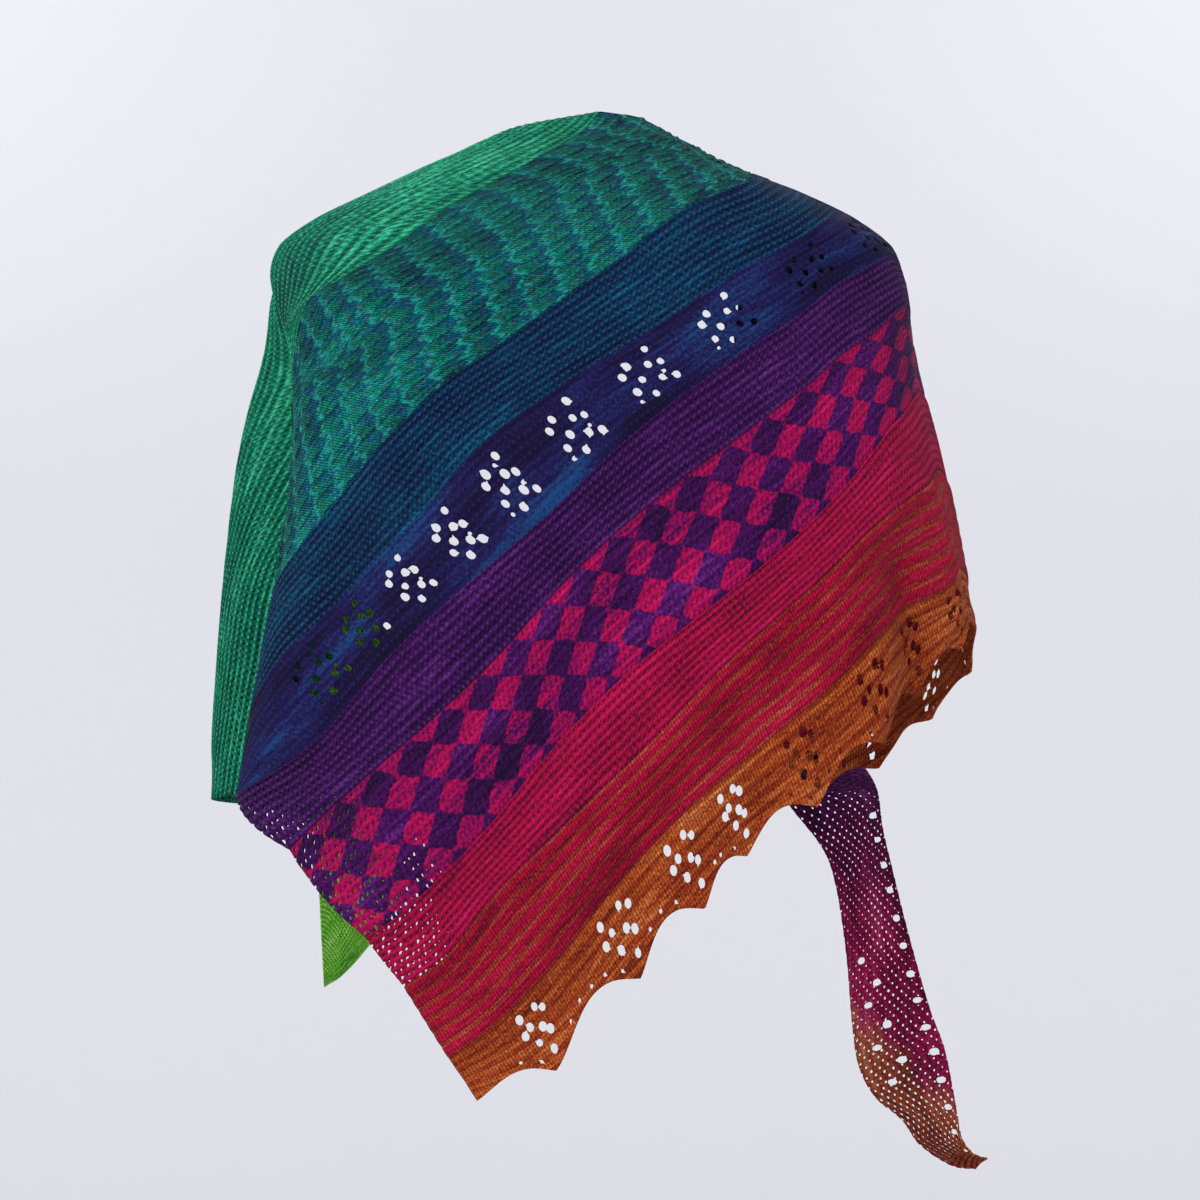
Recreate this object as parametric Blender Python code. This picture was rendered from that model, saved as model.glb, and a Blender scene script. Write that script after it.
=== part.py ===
"""A hand-knitted triangular shawl, worn round the shoulders, as a hollow form.

Metres, +Z up. The origin is the nape: the middle of the back neck edge. The wearer
faces +Y, so the back of the shawl faces -Y and the wearer's right arm is at +X.

The cloth is one right triangle. It is knitted in rows that run from the side edge
to the long eyelet edge, and it widens row by row from a light green start to a
copper lace border. Here each stretch of it is a wall of one thickness, lofted
between two row courses that lie on the draped form.
"""

import bpy
import bmesh
import math
from mathutils import Vector
from mathutils.geometry import delaunay_2d_cdt

WALL = 0.0020
SEAM_GAP = 0.0003
VIEW_DISTANCE = 2.0
VIEW_X = 0.0107
VIEW_Z = -0.323
SIDE_DEPTH = 0.055
VALLEY_TOP = -0.100
VALLEY_FULL = -0.190
# Neighbouring stretches share their course, so they share its number of steps.
COLUMNS = 36
# How finely a course is measured, and the small steps that give its directions.
FINE_STEPS = 240
PLACE_STEP = 0.02
HEIGHT_STEP = 0.003
# A hole's middle stays this far inside a lace stretch.
HOLE_MARGIN = 0.006
# Every course that goes over the right shoulder crosses it at the same step.
SHOULDER_PLACE = 8.0
SHOULDER_STEP = 0.7222222

# The draped form, one row for each level: where the strip in front of the left arm,
# the left and right edge of the back, the back and the chest lie.
LEVELS = [
    dict(height=0.006, strip=-0.046, left=-0.046, right=0.048, back=0.000, front=0.098),
    dict(height=-0.002, strip=-0.056, left=-0.056, right=0.056, back=-0.003, front=0.104),
    dict(height=-0.013, strip=-0.078, left=-0.078, right=0.077, back=-0.008, front=0.112),
    dict(height=-0.028, strip=-0.111, left=-0.111, right=0.106, back=-0.014, front=0.120),
    dict(height=-0.044, strip=-0.145, left=-0.145, right=0.149, back=-0.020, front=0.128),
    dict(height=-0.061, strip=-0.180, left=-0.180, right=0.185, back=-0.026, front=0.136),
    dict(height=-0.080, strip=-0.208, left=-0.206, right=0.210, back=-0.032, front=0.144),
    dict(height=-0.105, strip=-0.221, left=-0.212, right=0.219, back=-0.036, front=0.152),
    dict(height=-0.155, strip=-0.224, left=-0.199, right=0.227, back=-0.042, front=0.166),
    dict(height=-0.222, strip=-0.238, left=-0.197, right=0.244, back=-0.046, front=0.178),
    dict(height=-0.290, strip=-0.247, left=-0.205, right=0.258, back=-0.048, front=0.185),
    dict(height=-0.357, strip=-0.254, left=-0.218, right=0.268, back=-0.048, front=0.188),
    dict(height=-0.442, strip=-0.260, left=-0.232, right=0.256, back=-0.047, front=0.188),
    dict(height=-0.520, strip=-0.262, left=-0.244, right=0.250, back=-0.046, front=0.187),
    dict(height=-0.640, strip=-0.262, left=-0.246, right=0.250, back=-0.045, front=0.184),
    dict(height=-0.760, strip=-0.262, left=-0.246, right=0.250, back=-0.045, front=0.182),
]

# Soft creases of the drape, from one (place, height) to another, with a half width and
# a depth in metres: ridges are positive, troughs negative.
CREASES = [
    dict(start=(6.55, -0.40), end=(6.62, -0.52), width=0.015, depth=-0.008),
    dict(start=(7.25, -0.30), end=(7.35, -0.42), width=0.014, depth=-0.009),
    dict(start=(7.00, -0.34), end=(7.05, -0.47), width=0.017, depth=0.006),
    dict(start=(7.62, -0.26), end=(7.68, -0.38), width=0.014, depth=0.005),
    dict(start=(7.70, -0.12), end=(6.90, -0.30), width=0.028, depth=0.005),
    dict(start=(7.20, -0.11), end=(6.20, -0.33), width=0.030, depth=-0.004),
    dict(start=(4.70, -0.16), end=(5.00, -0.42), width=0.026, depth=-0.005),
    dict(start=(5.40, -0.30), end=(5.20, -0.55), width=0.030, depth=0.004),
    dict(start=(1.00, -0.15), end=(1.05, -0.46), width=0.022, depth=-0.006),
    dict(start=(1.90, -0.12), end=(1.75, -0.42), width=0.020, depth=0.004),
    dict(start=(8.50, -0.14), end=(8.90, -0.42), width=0.024, depth=-0.006),
    dict(start=(9.30, -0.12), end=(9.60, -0.38), width=0.022, depth=0.004),
]
PLACE_METRES = 0.10

# Row courses. "seen" points are millimetres as seen from behind: across from the
# middle of the view, and down from the nape. "start" and "end" are the hidden ends:
# the place round the form, from 0 at the left front to 10 at the right front, and
# the height in metres. A course that ends before the right shoulder has the "share"
# of its length that it has run by the shoulder's step, if not just that step.
COURSES = {
    "tip": dict(start=[(0.62, -0.604)], seen=[], end=[(0.42, -0.590), (0.00, -0.540)]),
    "light": dict(start=[(0.68, -0.484)], seen=[], end=[(0.60, -0.34), (0.50, -0.140)]),
    "spring": dict(start=[(1.30, -0.470), (1.38, -0.30)], seen=[],
                   end=[(1.35, -0.10), (1.20, -0.03)], share=0.76),
    "green": dict(start=[(3.00, -0.452), (3.10, -0.36), (3.25, -0.26)],
                  seen=[(-201, 139), (-168, 105), (-134, 84), (-101, 60), (-67, 42), (-34, 23),
                        (0, -4)], end=[], share=0.92),
    "leaf": dict(start=[(3.30, -0.456), (3.40, -0.36), (3.60, -0.27)],
                 seen=[(-201, 191), (-168, 160), (-134, 126), (-67, 80), (0, 34)],
                 end=[(6.85, -0.021), (7.60, -0.010), (8.80, -0.006)], share=0.90),
    "teal": dict(start=[(3.45, -0.460), (3.60, -0.39), (3.80, -0.335)],
                 seen=[(-201, 288), (-168, 246), (-134, 206), (-101, 175), (-67, 152), (0, 104),
                       (67, 56), (101, 38)],
                 end=[(8.00, -0.040), (9.00, -0.066), (10.0, -0.105)]),
    "blue": dict(start=[(3.75, -0.464), (3.90, -0.41)],
                 seen=[(-214, 363), (-188, 337), (-151, 298), (-117, 262), (-84, 223), (-34, 185),
                       (34, 142), (101, 98), (151, 69)],
                 end=[(8.00, -0.062), (9.00, -0.115), (10.0, -0.175)]),
    "lace": dict(start=[], seen=[(-243, 455), (-218, 438), (-184, 411), (-134, 353), (-84, 308),
                                 (-34, 265), (17, 216), (67, 177), (117, 143), (168, 106)],
                 end=[(8.00, -0.092), (9.00, -0.170), (10.0, -0.240)]),
    "purple": dict(start=[], seen=[(-208, 490), (-174, 457), (-124, 413), (-74, 366), (-24, 311),
                                   (34, 258), (84, 220), (134, 183), (175, 150)],
                   end=[(8.00, -0.124), (9.00, -0.215), (10.0, -0.290)]),
    "check": dict(start=[], seen=[(-157, 549), (-131, 531), (-84, 485), (-34, 425), (17, 373),
                                  (67, 333), (117, 293), (168, 242), (201, 200)],
                  end=[(8.00, -0.186), (9.00, -0.275), (10.0, -0.345)]),
    "magenta": dict(start=[], seen=[(-131, 582), (-101, 560), (-67, 517), (-17, 468), (34, 419),
                                    (84, 367), (134, 322), (184, 274), (218, 248)],
                    end=[(8.00, -0.240), (9.00, -0.325), (10.0, -0.392)]),
    "copper": dict(start=[], seen=[(-101, 630), (-74, 611), (-34, 571), (7, 519), (54, 468),
                                   (101, 427), (151, 385), (191, 343), (228, 318)],
                   end=[(8.00, -0.304), (9.00, -0.378), (10.0, -0.440)]),
    "edge": dict(start=[], seen=[(-82, 658), (-27, 636), (29, 574), (71, 528), (99, 494),
                                 (147, 461), (192, 417), (213, 385), (240, 357)],
                 end=[(8.00, -0.345), (8.90, -0.425), (10.0, -0.495)]),
}

# The scallop tips of the border: metres along the hem from the lower corner, whose
# shoulder step lies at TIPS_END, and then metres on from there to the right front.
TIPS_BACK = [0.0, 0.056, 0.138, 0.200, 0.245, 0.302, 0.365, 0.414, 0.460, 0.495]
TIPS_FRONT = [0.040, 0.090, 0.150, 0.205]
TIPS_END = 0.506
SCALLOP_DEPTH = 0.018
SCALLOP_FULL = 0.080
HEM_STEPS = 6

# The lapel turns back over the right front along a soft fold. One row for each
# height: the place round the form that its eyelet edge reaches.
FOLD_RADIUS = 0.0035
FOLD_GAP = 0.0008
FOLD_STEPS = 4
LAPEL_STEPS = 4
LAPEL = [
    dict(height=-0.118, reach=9.60),
    dict(height=-0.200, reach=9.15),
    dict(height=-0.290, reach=9.12),
    dict(height=-0.380, reach=9.22),
    dict(height=-0.440, reach=9.34),
]
# The tail hangs free below the lapel. One row for each section: its inner end, its
# eyelet end, and how far forward it hangs.
TAIL = [
    dict(inner_x=0.150, inner_z=-0.474, outer_x=0.2140, outer_z=-0.462, forward=0.193),
    dict(inner_x=0.174, inner_z=-0.505, outer_x=0.2180, outer_z=-0.490, forward=0.191),
    dict(inner_x=0.184, inner_z=-0.533, outer_x=0.2240, outer_z=-0.516, forward=0.190),
    dict(inner_x=0.192, inner_z=-0.583, outer_x=0.2370, outer_z=-0.567, forward=0.195),
    dict(inner_x=0.197, inner_z=-0.638, outer_x=0.2530, outer_z=-0.622, forward=0.200),
    dict(inner_x=0.202, inner_z=-0.668, outer_x=0.2640, outer_z=-0.652, forward=0.200),
    dict(inner_x=0.214, inner_z=-0.690, outer_x=0.2700, outer_z=-0.680, forward=0.200),
    dict(inner_x=0.233, inner_z=-0.706, outer_x=0.2740, outer_z=-0.703, forward=0.200),
    dict(inner_x=0.247, inner_z=-0.725, outer_x=0.2775, outer_z=-0.720, forward=0.200),
    dict(inner_x=0.270, inner_z=-0.740, outer_x=0.2860, outer_z=-0.731, forward=0.200),
    dict(inner_x=0.288, inner_z=-0.7425, outer_x=0.2960, outer_z=-0.7345, forward=0.200),
]
TAIL_EYELETS = 14
# The larger gaps low in the tail, as shares of its length and its width.
TAIL_GAPS = [
    (0.50, 0.22), (0.55, 0.40), (0.59, 0.24), (0.64, 0.44), (0.68, 0.26), (0.72, 0.50), (0.76, 0.30),
]
TAIL_HOLE = (0.0026, 0.0026)

# One flower of holes in the navy lace: along the rows and across them, millimetres.
FLOWER = [
    (-14.0, -22.7), (2.9, -20.0), (10.8, -16.2), (-6.2, -12.1), (5.4, -5.4), (13.1, -2.5),
    (-13.4, -7.6), (-4.6, 1.3), (6.5, 7.6), (14.9, 11.7), (-13.0, 6.5), (-4.4, 14.5),
    (7.0, 20.2), (-9.2, 20.2),
]
FLOWER_PITCH = 0.0620
# Where the flowers lie: metres back from the shoulder, the negative ones in front.
FLOWERS = [-0.150, -0.090, -0.028, 0.034, 0.098, 0.168, 0.231, 0.2915, 0.348, 0.3955, 0.439,
           0.482, 0.527]
FLOWER_HOLE = (0.0028, 0.0038)
# One fan of holes above each scallop of the border.
FAN = [
    (-11.9, -12.7), (6.6, -12.5), (13.1, -8.5), (-6.5, -4.0), (4.2, 1.5), (9.2, 6.0),
    (-14.6, -1.0), (-6.4, 8.7), (3.1, 18.1),
]
FAN_HOLE = (0.0027, 0.0033)


def blend(a, b, f):
    return a + (b - a) * f


def smooth_step(low, high, value):
    f = min(max((value - low) / (high - low), 0.0), 1.0)
    return f * f * (3.0 - 2.0 * f)


def through(points, place):
    """A smooth curve through evenly numbered points, place 0 being the first."""
    last = len(points) - 1
    place = min(max(place, 0.0), float(last))
    cell = min(int(place), last - 1)
    f = place - cell
    p1, p2 = points[cell], points[cell + 1]
    p0 = points[cell - 1] if cell > 0 else [2.0 * a - b for a, b in zip(p1, p2)]
    p3 = points[cell + 2] if cell + 2 <= last else [2.0 * b - a for a, b in zip(p1, p2)]
    return [0.5 * (2.0 * b + (c - a) * f + (2.0 * a - 5.0 * b + 4.0 * c - d) * f * f
                   + (3.0 * b - a - 3.0 * c + d) * f * f * f)
            for a, b, c, d in zip(p0, p1, p2, p3)]


def read_levels(table, height):
    """All columns of a table of heights, smoothly between its rows."""
    names = [name for name in table[0] if name != "height"]
    place = len(table) - 1.0
    for i in range(len(table) - 1):
        top, low = table[i]["height"], table[i + 1]["height"]
        if height >= low:
            place = i + min(max((top - height) / (top - low), 0.0), 1.0)
            break
    values = through([[row[name] for name in names] for row in table], place)
    return dict(zip(names, values))


def creasing(place, height):
    """How far the creases lift the cloth at a place."""
    lift = 0.0
    spot = Vector((place * PLACE_METRES, height))
    for crease in CREASES:
        start = Vector((crease["start"][0] * PLACE_METRES, crease["start"][1]))
        run = Vector((crease["end"][0] * PLACE_METRES, crease["end"][1])) - start
        f = min(max((spot - start).dot(run) / run.length_squared, 0.0), 1.0)
        away = (spot - start - run * f).length / crease["width"]
        lift += crease["depth"] * math.exp(-away * away)
    return lift


def form_point(place, height):
    """A point of the draped form: place 0 is the left front, 6 the spine, 10 the right front."""
    level = read_levels(LEVELS, height)
    strip, left, right = level["strip"], level["left"], level["right"]
    back, front = level["back"], level["front"]
    chest = front - SIDE_DEPTH
    flank = SIDE_DEPTH - back
    valley = smooth_step(VALLEY_TOP, VALLEY_FULL, height)
    plain = [(0.50 * strip, front - 0.04 * chest), (0.86 * strip, SIDE_DEPTH + 0.72 * chest),
             (0.975 * strip, SIDE_DEPTH + 0.42 * chest), (1.0 * left, SIDE_DEPTH + 0.14 * chest),
             (0.985 * left, SIDE_DEPTH - 0.20 * flank)]
    folded = [(0.50 * strip, front - 0.04 * chest), (0.84 * strip, SIDE_DEPTH + 0.80 * chest),
              (strip, SIDE_DEPTH + 0.040), (left + 0.034, SIDE_DEPTH + 0.012),
              (left, SIDE_DEPTH - 0.032)]
    stations = [[blend(a, b, valley) for a, b in zip(p, f)] for p, f in zip(plain, folded)]
    stations += [[0.70 * left, back + 0.20 * flank], [0.02 * right, back],
                 [0.70 * right, back + 0.20 * flank], [right, SIDE_DEPTH],
                 [0.88 * right, SIDE_DEPTH + 0.64 * chest], [0.50 * right, front - 0.04 * chest]]
    x, y = through(stations, place)
    ahead = through(stations, place + PLACE_STEP)
    behind = through(stations, place - PLACE_STEP)
    outward = Vector((ahead[1] - behind[1], behind[0] - ahead[0], 0.0)).normalized()
    return Vector((x, y, height)) + outward * creasing(place, height)


def form_normal(place, height):
    """Outward from the wearer, from two short steps along the form."""
    across = form_point(place + PLACE_STEP, height) - form_point(place - PLACE_STEP, height)
    down = form_point(place, height - HEIGHT_STEP) - form_point(place, height + HEIGHT_STEP)
    return down.cross(across).normalized()


def sighted(across_mm, down_mm):
    """The place and height on the back where a seen point lies, along the line of sight."""
    depth = -0.03
    place = 6.0
    height = -down_mm / 1000.0
    for _ in range(6):
        spread = (VIEW_DISTANCE + depth) / VIEW_DISTANCE
        x = VIEW_X + across_mm / 1000.0 * spread
        height = VIEW_Z + (-down_mm / 1000.0 - VIEW_Z) * spread
        height = min(height, LEVELS[0]["height"])
        low, high = 3.98, 8.0
        for _ in range(24):
            place = 0.5 * (low + high)
            if form_point(place, height).x < x:
                low = place
            else:
                high = place
        depth = form_point(place, height).y
    return place, height


def course(name):
    """A row course as evenly spaced (place, height) pairs along the cloth."""
    row = COURSES[name]
    knots = row["start"] + [sighted(*point) for point in row["seen"]] + row["end"]
    fine = [through(knots, i * (len(knots) - 1) / FINE_STEPS) for i in range(FINE_STEPS + 1)]
    run = [0.0]
    for a, b in zip(fine, fine[1:]):
        run.append(run[-1] + (form_point(*b) - form_point(*a)).length)
    return fine, run, row.get("share")


def shoulder_run(fine, run, share):
    """How far along a course its shoulder step lies."""
    if share is None:
        crossed = [length for knot, length in zip(fine, run) if knot[0] >= SHOULDER_PLACE]
        return crossed[0] if crossed else run[-1] * SHOULDER_STEP
    return run[-1] * share


def along(fine, run, share, fraction):
    """The (place, height) at a step of a course, from 0 at its start to 1 at its end."""
    fraction = min(max(fraction, 0.0), 1.0)
    shoulder = shoulder_run(fine, run, share)
    if fraction < SHOULDER_STEP:
        goal = shoulder * fraction / SHOULDER_STEP
    else:
        goal = blend(shoulder, run[-1], (fraction - SHOULDER_STEP) / (1.0 - SHOULDER_STEP))
    low, high = 0, len(run) - 1
    while high - low > 1:
        middle = (low + high) // 2
        if run[middle] <= goal:
            low = middle
        else:
            high = middle
    f = (goal - run[low]) / max(run[high] - run[low], 1e-9)
    return [blend(a, b, f) for a, b in zip(fine[low], fine[high])]


class Stretch:
    """The cloth between two courses, measured along the rows and across them."""

    def __init__(self, upper, lower):
        self.upper = course(upper)
        self.lower = course(lower)
        self.length = 0.5 * (self.upper[1][-1] + self.lower[1][-1])
        self.back_length = 0.5 * (shoulder_run(*self.upper) + shoulder_run(*self.lower))
        gaps = [(self.surface(i / 20.0, 1.0)[0] - self.surface(i / 20.0, 0.0)[0]).length
                for i in range(2, 19)]
        self.width = sum(gaps) / len(gaps)

    def step_at(self, u):
        """The step along the rows that lies u metres from their start."""
        if u < self.back_length:
            return SHOULDER_STEP * u / self.back_length
        return blend(SHOULDER_STEP, 1.0, (u - self.back_length) / (self.length - self.back_length))

    def metres_at(self, t):
        """How many metres from the start a step along the rows lies."""
        if t < SHOULDER_STEP:
            return self.back_length * t / SHOULDER_STEP
        return blend(self.back_length, self.length, (t - SHOULDER_STEP) / (1.0 - SHOULDER_STEP))

    def surface(self, t, s):
        place, height = [blend(a, b, s) for a, b in zip(along(*self.upper, t), along(*self.lower, t))]
        return form_point(place, height), form_normal(place, height)


def add_object(name, mesh, colour, roughness):
    body = bpy.data.objects.new(name, mesh)
    bpy.context.scene.collection.objects.link(body)
    material = bpy.data.materials.new(name + "_yarn")
    material.use_nodes = True
    shader = material.node_tree.nodes["Principled BSDF"]
    shader.inputs["Base Color"].default_value = (*colour, 1.0)
    shader.inputs["Roughness"].default_value = roughness
    material.diffuse_color = (*colour, 1.0)
    mesh.materials.append(material)
    return body


def split(face, points):
    """A four-sided face as two triangles, along its shorter diagonal."""
    if len(face) == 3:
        return [face]
    a, b, c, d = face
    if (points[a] - points[c]).length < (points[b] - points[d]).length:
        return [[a, b, c], [a, c, d]]
    return [[a, b, d], [b, c, d]]


def shell(name, flat, faces, place_on, colour, rib=None, roughness=0.85):
    """Two skins a wall apart over a flat layout, closed along every free edge."""
    work = bmesh.new()
    outer, inner, middle = [], [], []
    for u, v in flat:
        point, normal = place_on(u, v)
        lift = rib(u, v) if rib else 0.0
        middle.append(point)
        outer.append(work.verts.new(point + normal * (0.5 * WALL + lift)))
        inner.append(work.verts.new(point - normal * 0.5 * WALL))
    # Both skins are split along the same diagonals, or they could cross over a ridge.
    faces = [part for face in faces for part in split(face, middle)]
    free = {}
    for face in faces:
        work.faces.new([outer[i] for i in face])
        work.faces.new([inner[i] for i in reversed(face)])
        for a, b in zip(face, face[1:] + face[:1]):
            if (b, a) in free:
                del free[(b, a)]
            else:
                free[(a, b)] = True
    for a, b in free:
        # Walls that face each other over a seam are split along the same diagonal.
        if tuple(flat[a]) < tuple(flat[b]):
            work.faces.new([outer[b], outer[a], inner[b]])
            work.faces.new([outer[a], inner[a], inner[b]])
        else:
            work.faces.new([outer[b], outer[a], inner[a]])
            work.faces.new([outer[b], inner[a], inner[b]])
    bmesh.ops.recalc_face_normals(work, faces=work.faces)
    if work.calc_volume(signed=True) < 0.0:
        bmesh.ops.reverse_faces(work, faces=work.faces)
    mesh = bpy.data.meshes.new(name)
    work.to_mesh(mesh)
    work.free()
    return add_object(name, mesh, colour, roughness)


def grid_faces(columns, rows):
    return [[j * (columns + 1) + i, j * (columns + 1) + i + 1,
             (j + 1) * (columns + 1) + i + 1, (j + 1) * (columns + 1) + i]
            for j in range(rows) for i in range(columns)]


def plain_stretch(name, stretch, rows, colour, rib=None):
    """A stretch with no holes, as an even grid."""
    inset = 0.5 * SEAM_GAP / stretch.width
    flat = [(i / COLUMNS, blend(inset, 1.0 - inset, j / rows))
            for j in range(rows + 1) for i in range(COLUMNS + 1)]
    return shell(name, flat, grid_faces(COLUMNS, rows), stretch.surface, colour, rib)


def hole_outline(centre, half_size, sides=6):
    return [(centre[0] + half_size[0] * math.cos(math.tau * i / sides),
             centre[1] + half_size[1] * math.sin(math.tau * i / sides)) for i in range(sides)]


def lace_stretch(name, stretch, outline, holes, half_size, spacing, colour):
    """A stretch with its larger gaps cut through. The layout is in metres."""
    points = [Vector(p) for p in outline]
    edges = [(i, (i + 1) % len(outline)) for i in range(len(outline))]
    for centre in holes:
        first = len(points)
        ring = hole_outline(centre, half_size)
        points += [Vector(p) for p in ring]
        edges += [(first + i, first + (i + 1) % len(ring)) for i in range(len(ring))]
    columns = int(stretch.length / spacing)
    rows = int(stretch.width / spacing) + 1
    for i in range(1, columns):
        for j in range(1, rows):
            spot = Vector((stretch.length * i / columns, stretch.width * j / rows))
            clear = all((spot - Vector(c)).length > 0.45 * spacing for c in holes)
            if clear and inside(spot, outline, 0.3 * spacing):
                points.append(spot)
    verts, _, faces = delaunay_2d_cdt(points, edges, [], 0, 1e-6)[:3]
    kept = []
    for face in faces:
        middle = sum((verts[i] for i in face), Vector((0.0, 0.0))) / len(face)
        in_hole = any(abs(middle.x - c[0]) < half_size[0] and abs(middle.y - c[1]) < half_size[1]
                      and inside(middle, hole_outline(c, half_size), 0.0) for c in holes)
        if not in_hole and inside(middle, outline, 0.0):
            kept.append(list(face))

    def place_on(u, v):
        return stretch.surface(stretch.step_at(u), v / stretch.width)

    return shell(name, [(v.x, v.y) for v in verts], kept, place_on, colour)


def inside(spot, outline, margin):
    """Whether a spot lies within an outline and further than a margin from it."""
    crossings = 0
    for (ax, ay), (bx, by) in zip(outline, outline[1:] + outline[:1]):
        if (ay > spot.y) != (by > spot.y):
            if spot.x < ax + (spot.y - ay) / (by - ay) * (bx - ax):
                crossings += 1
        if margin:
            edge = Vector((bx - ax, by - ay))
            f = min(max((spot - Vector((ax, ay))).dot(edge) / max(edge.length_squared, 1e-12), 0), 1)
            if (spot - Vector((ax, ay)) - edge * f).length < margin:
                return False
    return crossings % 2 == 1


def remove_everything():
    for item in list(bpy.data.objects):
        bpy.data.objects.remove(item, do_unlink=True)


def make_left_front():
    plain_stretch("light_green_tip", Stretch("tip", "light"), 3, (0.14, 0.42, 0.03))
    plain_stretch("light_green_front", Stretch("light", "spring"), 5, (0.08, 0.36, 0.05))


def make_back_bands():
    plain_stretch("green_garter", Stretch("spring", "green"), 7, (0.01, 0.22, 0.11))
    plain_stretch("teal_slip_upper", Stretch("green", "leaf"), 3, (0.01, 0.18, 0.16))
    plain_stretch("teal_slip_lower", Stretch("leaf", "teal"), 4, (0.01, 0.15, 0.16))
    plain_stretch("blue_garter", Stretch("teal", "blue"), 4, (0.01, 0.06, 0.15))
    plain_stretch("purple_garter", Stretch("lace", "purple"), 3, (0.06, 0.01, 0.12))
    plain_stretch("check_band", Stretch("purple", "check"), 4, (0.16, 0.01, 0.12))
    plain_stretch("magenta_garter", Stretch("check", "magenta"), 3, (0.32, 0.01, 0.08))


def make_copper_stripes():
    """Four raised stockinette stripes between garter ridges."""
    stripes = 4
    rib_height = 0.0012

    def rib(t, s):
        return rib_height * math.sin(math.pi * stripes * s) ** 2

    plain_stretch("copper_stripes", Stretch("magenta", "copper"), 2 * stripes,
                  (0.34, 0.06, 0.02), rib)


def make_navy_lace():
    stretch = Stretch("blue", "lace")
    half_gap = 0.5 * SEAM_GAP
    outline = (layout_line(stretch, COLUMNS, lambda u: half_gap)
               + layout_line(stretch, COLUMNS, lambda u: stretch.width - half_gap)[::-1])
    holes = []
    for place, beyond in zip(FLOWERS, FLOWERS[1:] + [FLOWERS[-1] + FLOWER_PITCH]):
        centre = stretch.back_length - place
        squeeze = min(1.0, (beyond - place) / FLOWER_PITCH)
        for du, dv in FLOWER:
            spot = (centre + squeeze * du / 1000.0, 0.5 * stretch.width + dv / 1000.0)
            if (HOLE_MARGIN < spot[0] < stretch.length - HOLE_MARGIN
                    and HOLE_MARGIN < spot[1] < stretch.width - HOLE_MARGIN):
                holes.append(spot)
    lace_stretch("navy_lace", stretch, outline, holes, FLOWER_HOLE, 0.020, (0.02, 0.02, 0.10))


def layout_line(stretch, steps, line):
    """One long edge of a stretch's flat outline."""
    places = [stretch.metres_at(i / steps) for i in range(steps + 1)]
    return [(u, line(u)) for u in places]


def make_orange_border():
    stretch = Stretch("copper", "edge")
    tips = [tip / TIPS_END * stretch.back_length for tip in TIPS_BACK]
    tips += [stretch.back_length + tip for tip in TIPS_FRONT]
    tips = [tip for tip in tips if tip < stretch.length - 0.020] + [stretch.length]
    last = stretch.length

    def hem(u):
        for low, high in zip(tips, tips[1:]):
            if u <= high:
                phase = (u - low) / (high - low)
                depth = SCALLOP_DEPTH * min(1.0, (high - low) / SCALLOP_FULL)
                return stretch.width - depth * math.sin(math.pi * phase ** 1.2)
        return stretch.width

    lower = [blend(low, high, i / HEM_STEPS) for low, high in zip(tips, tips[1:])
             for i in range(HEM_STEPS)] + [last]
    outline = (layout_line(stretch, COLUMNS, lambda u: 0.5 * SEAM_GAP)
               + [(u, hem(u)) for u in reversed(lower)])
    holes = []
    for low, high in zip(tips, tips[1:]):
        squeeze = min(1.0, (high - low) / SCALLOP_FULL)
        for du, dv in FAN:
            spot = (high + 0.004 + du / 1000.0 * squeeze, 0.42 * stretch.width + dv / 1000.0)
            if HOLE_MARGIN < spot[0] < last - HOLE_MARGIN and spot[1] < hem(spot[0]) - 0.005:
                holes.append(spot)
    lace_stretch("orange_border", stretch, outline, holes, FAN_HOLE, 0.020, (0.42, 0.14, 0.03))


def lapel_section(height):
    """A level section of the lapel, from the fold to the eyelet edge, as spots in plan."""
    reach = read_levels(LAPEL, height)["reach"]
    edge = form_point(10.0, height)
    normal = form_normal(10.0, height)
    beyond = (form_point(10.0, height) - form_point(9.97, height)).normalized()
    turn = edge + beyond * FOLD_GAP + normal * FOLD_RADIUS
    spots = []
    for i in range(FOLD_STEPS + 1):
        angle = math.pi * (i / FOLD_STEPS)
        spots.append(turn + (beyond * math.sin(angle) - normal * math.cos(angle)) * FOLD_RADIUS)
    for i in range(1, LAPEL_STEPS + 1):
        place = blend(10.0, reach, i / LAPEL_STEPS)
        spots.append(form_point(place, height) + form_normal(place, height) * 2.0 * FOLD_RADIUS)
    return spots


def tail_section(row):
    """A section of the tail with as many spots as the lapel's, evenly spread."""
    inner = Vector((row["inner_x"], row["forward"] + 0.004, row["inner_z"]))
    outer = Vector((row["outer_x"], row["forward"], row["outer_z"]))
    count = FOLD_STEPS + LAPEL_STEPS
    return [inner.lerp(outer, i / count) + Vector((0.0, 0.003 * math.sin(math.pi * i / count), 0.0))
            for i in range(count + 1)]


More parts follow.
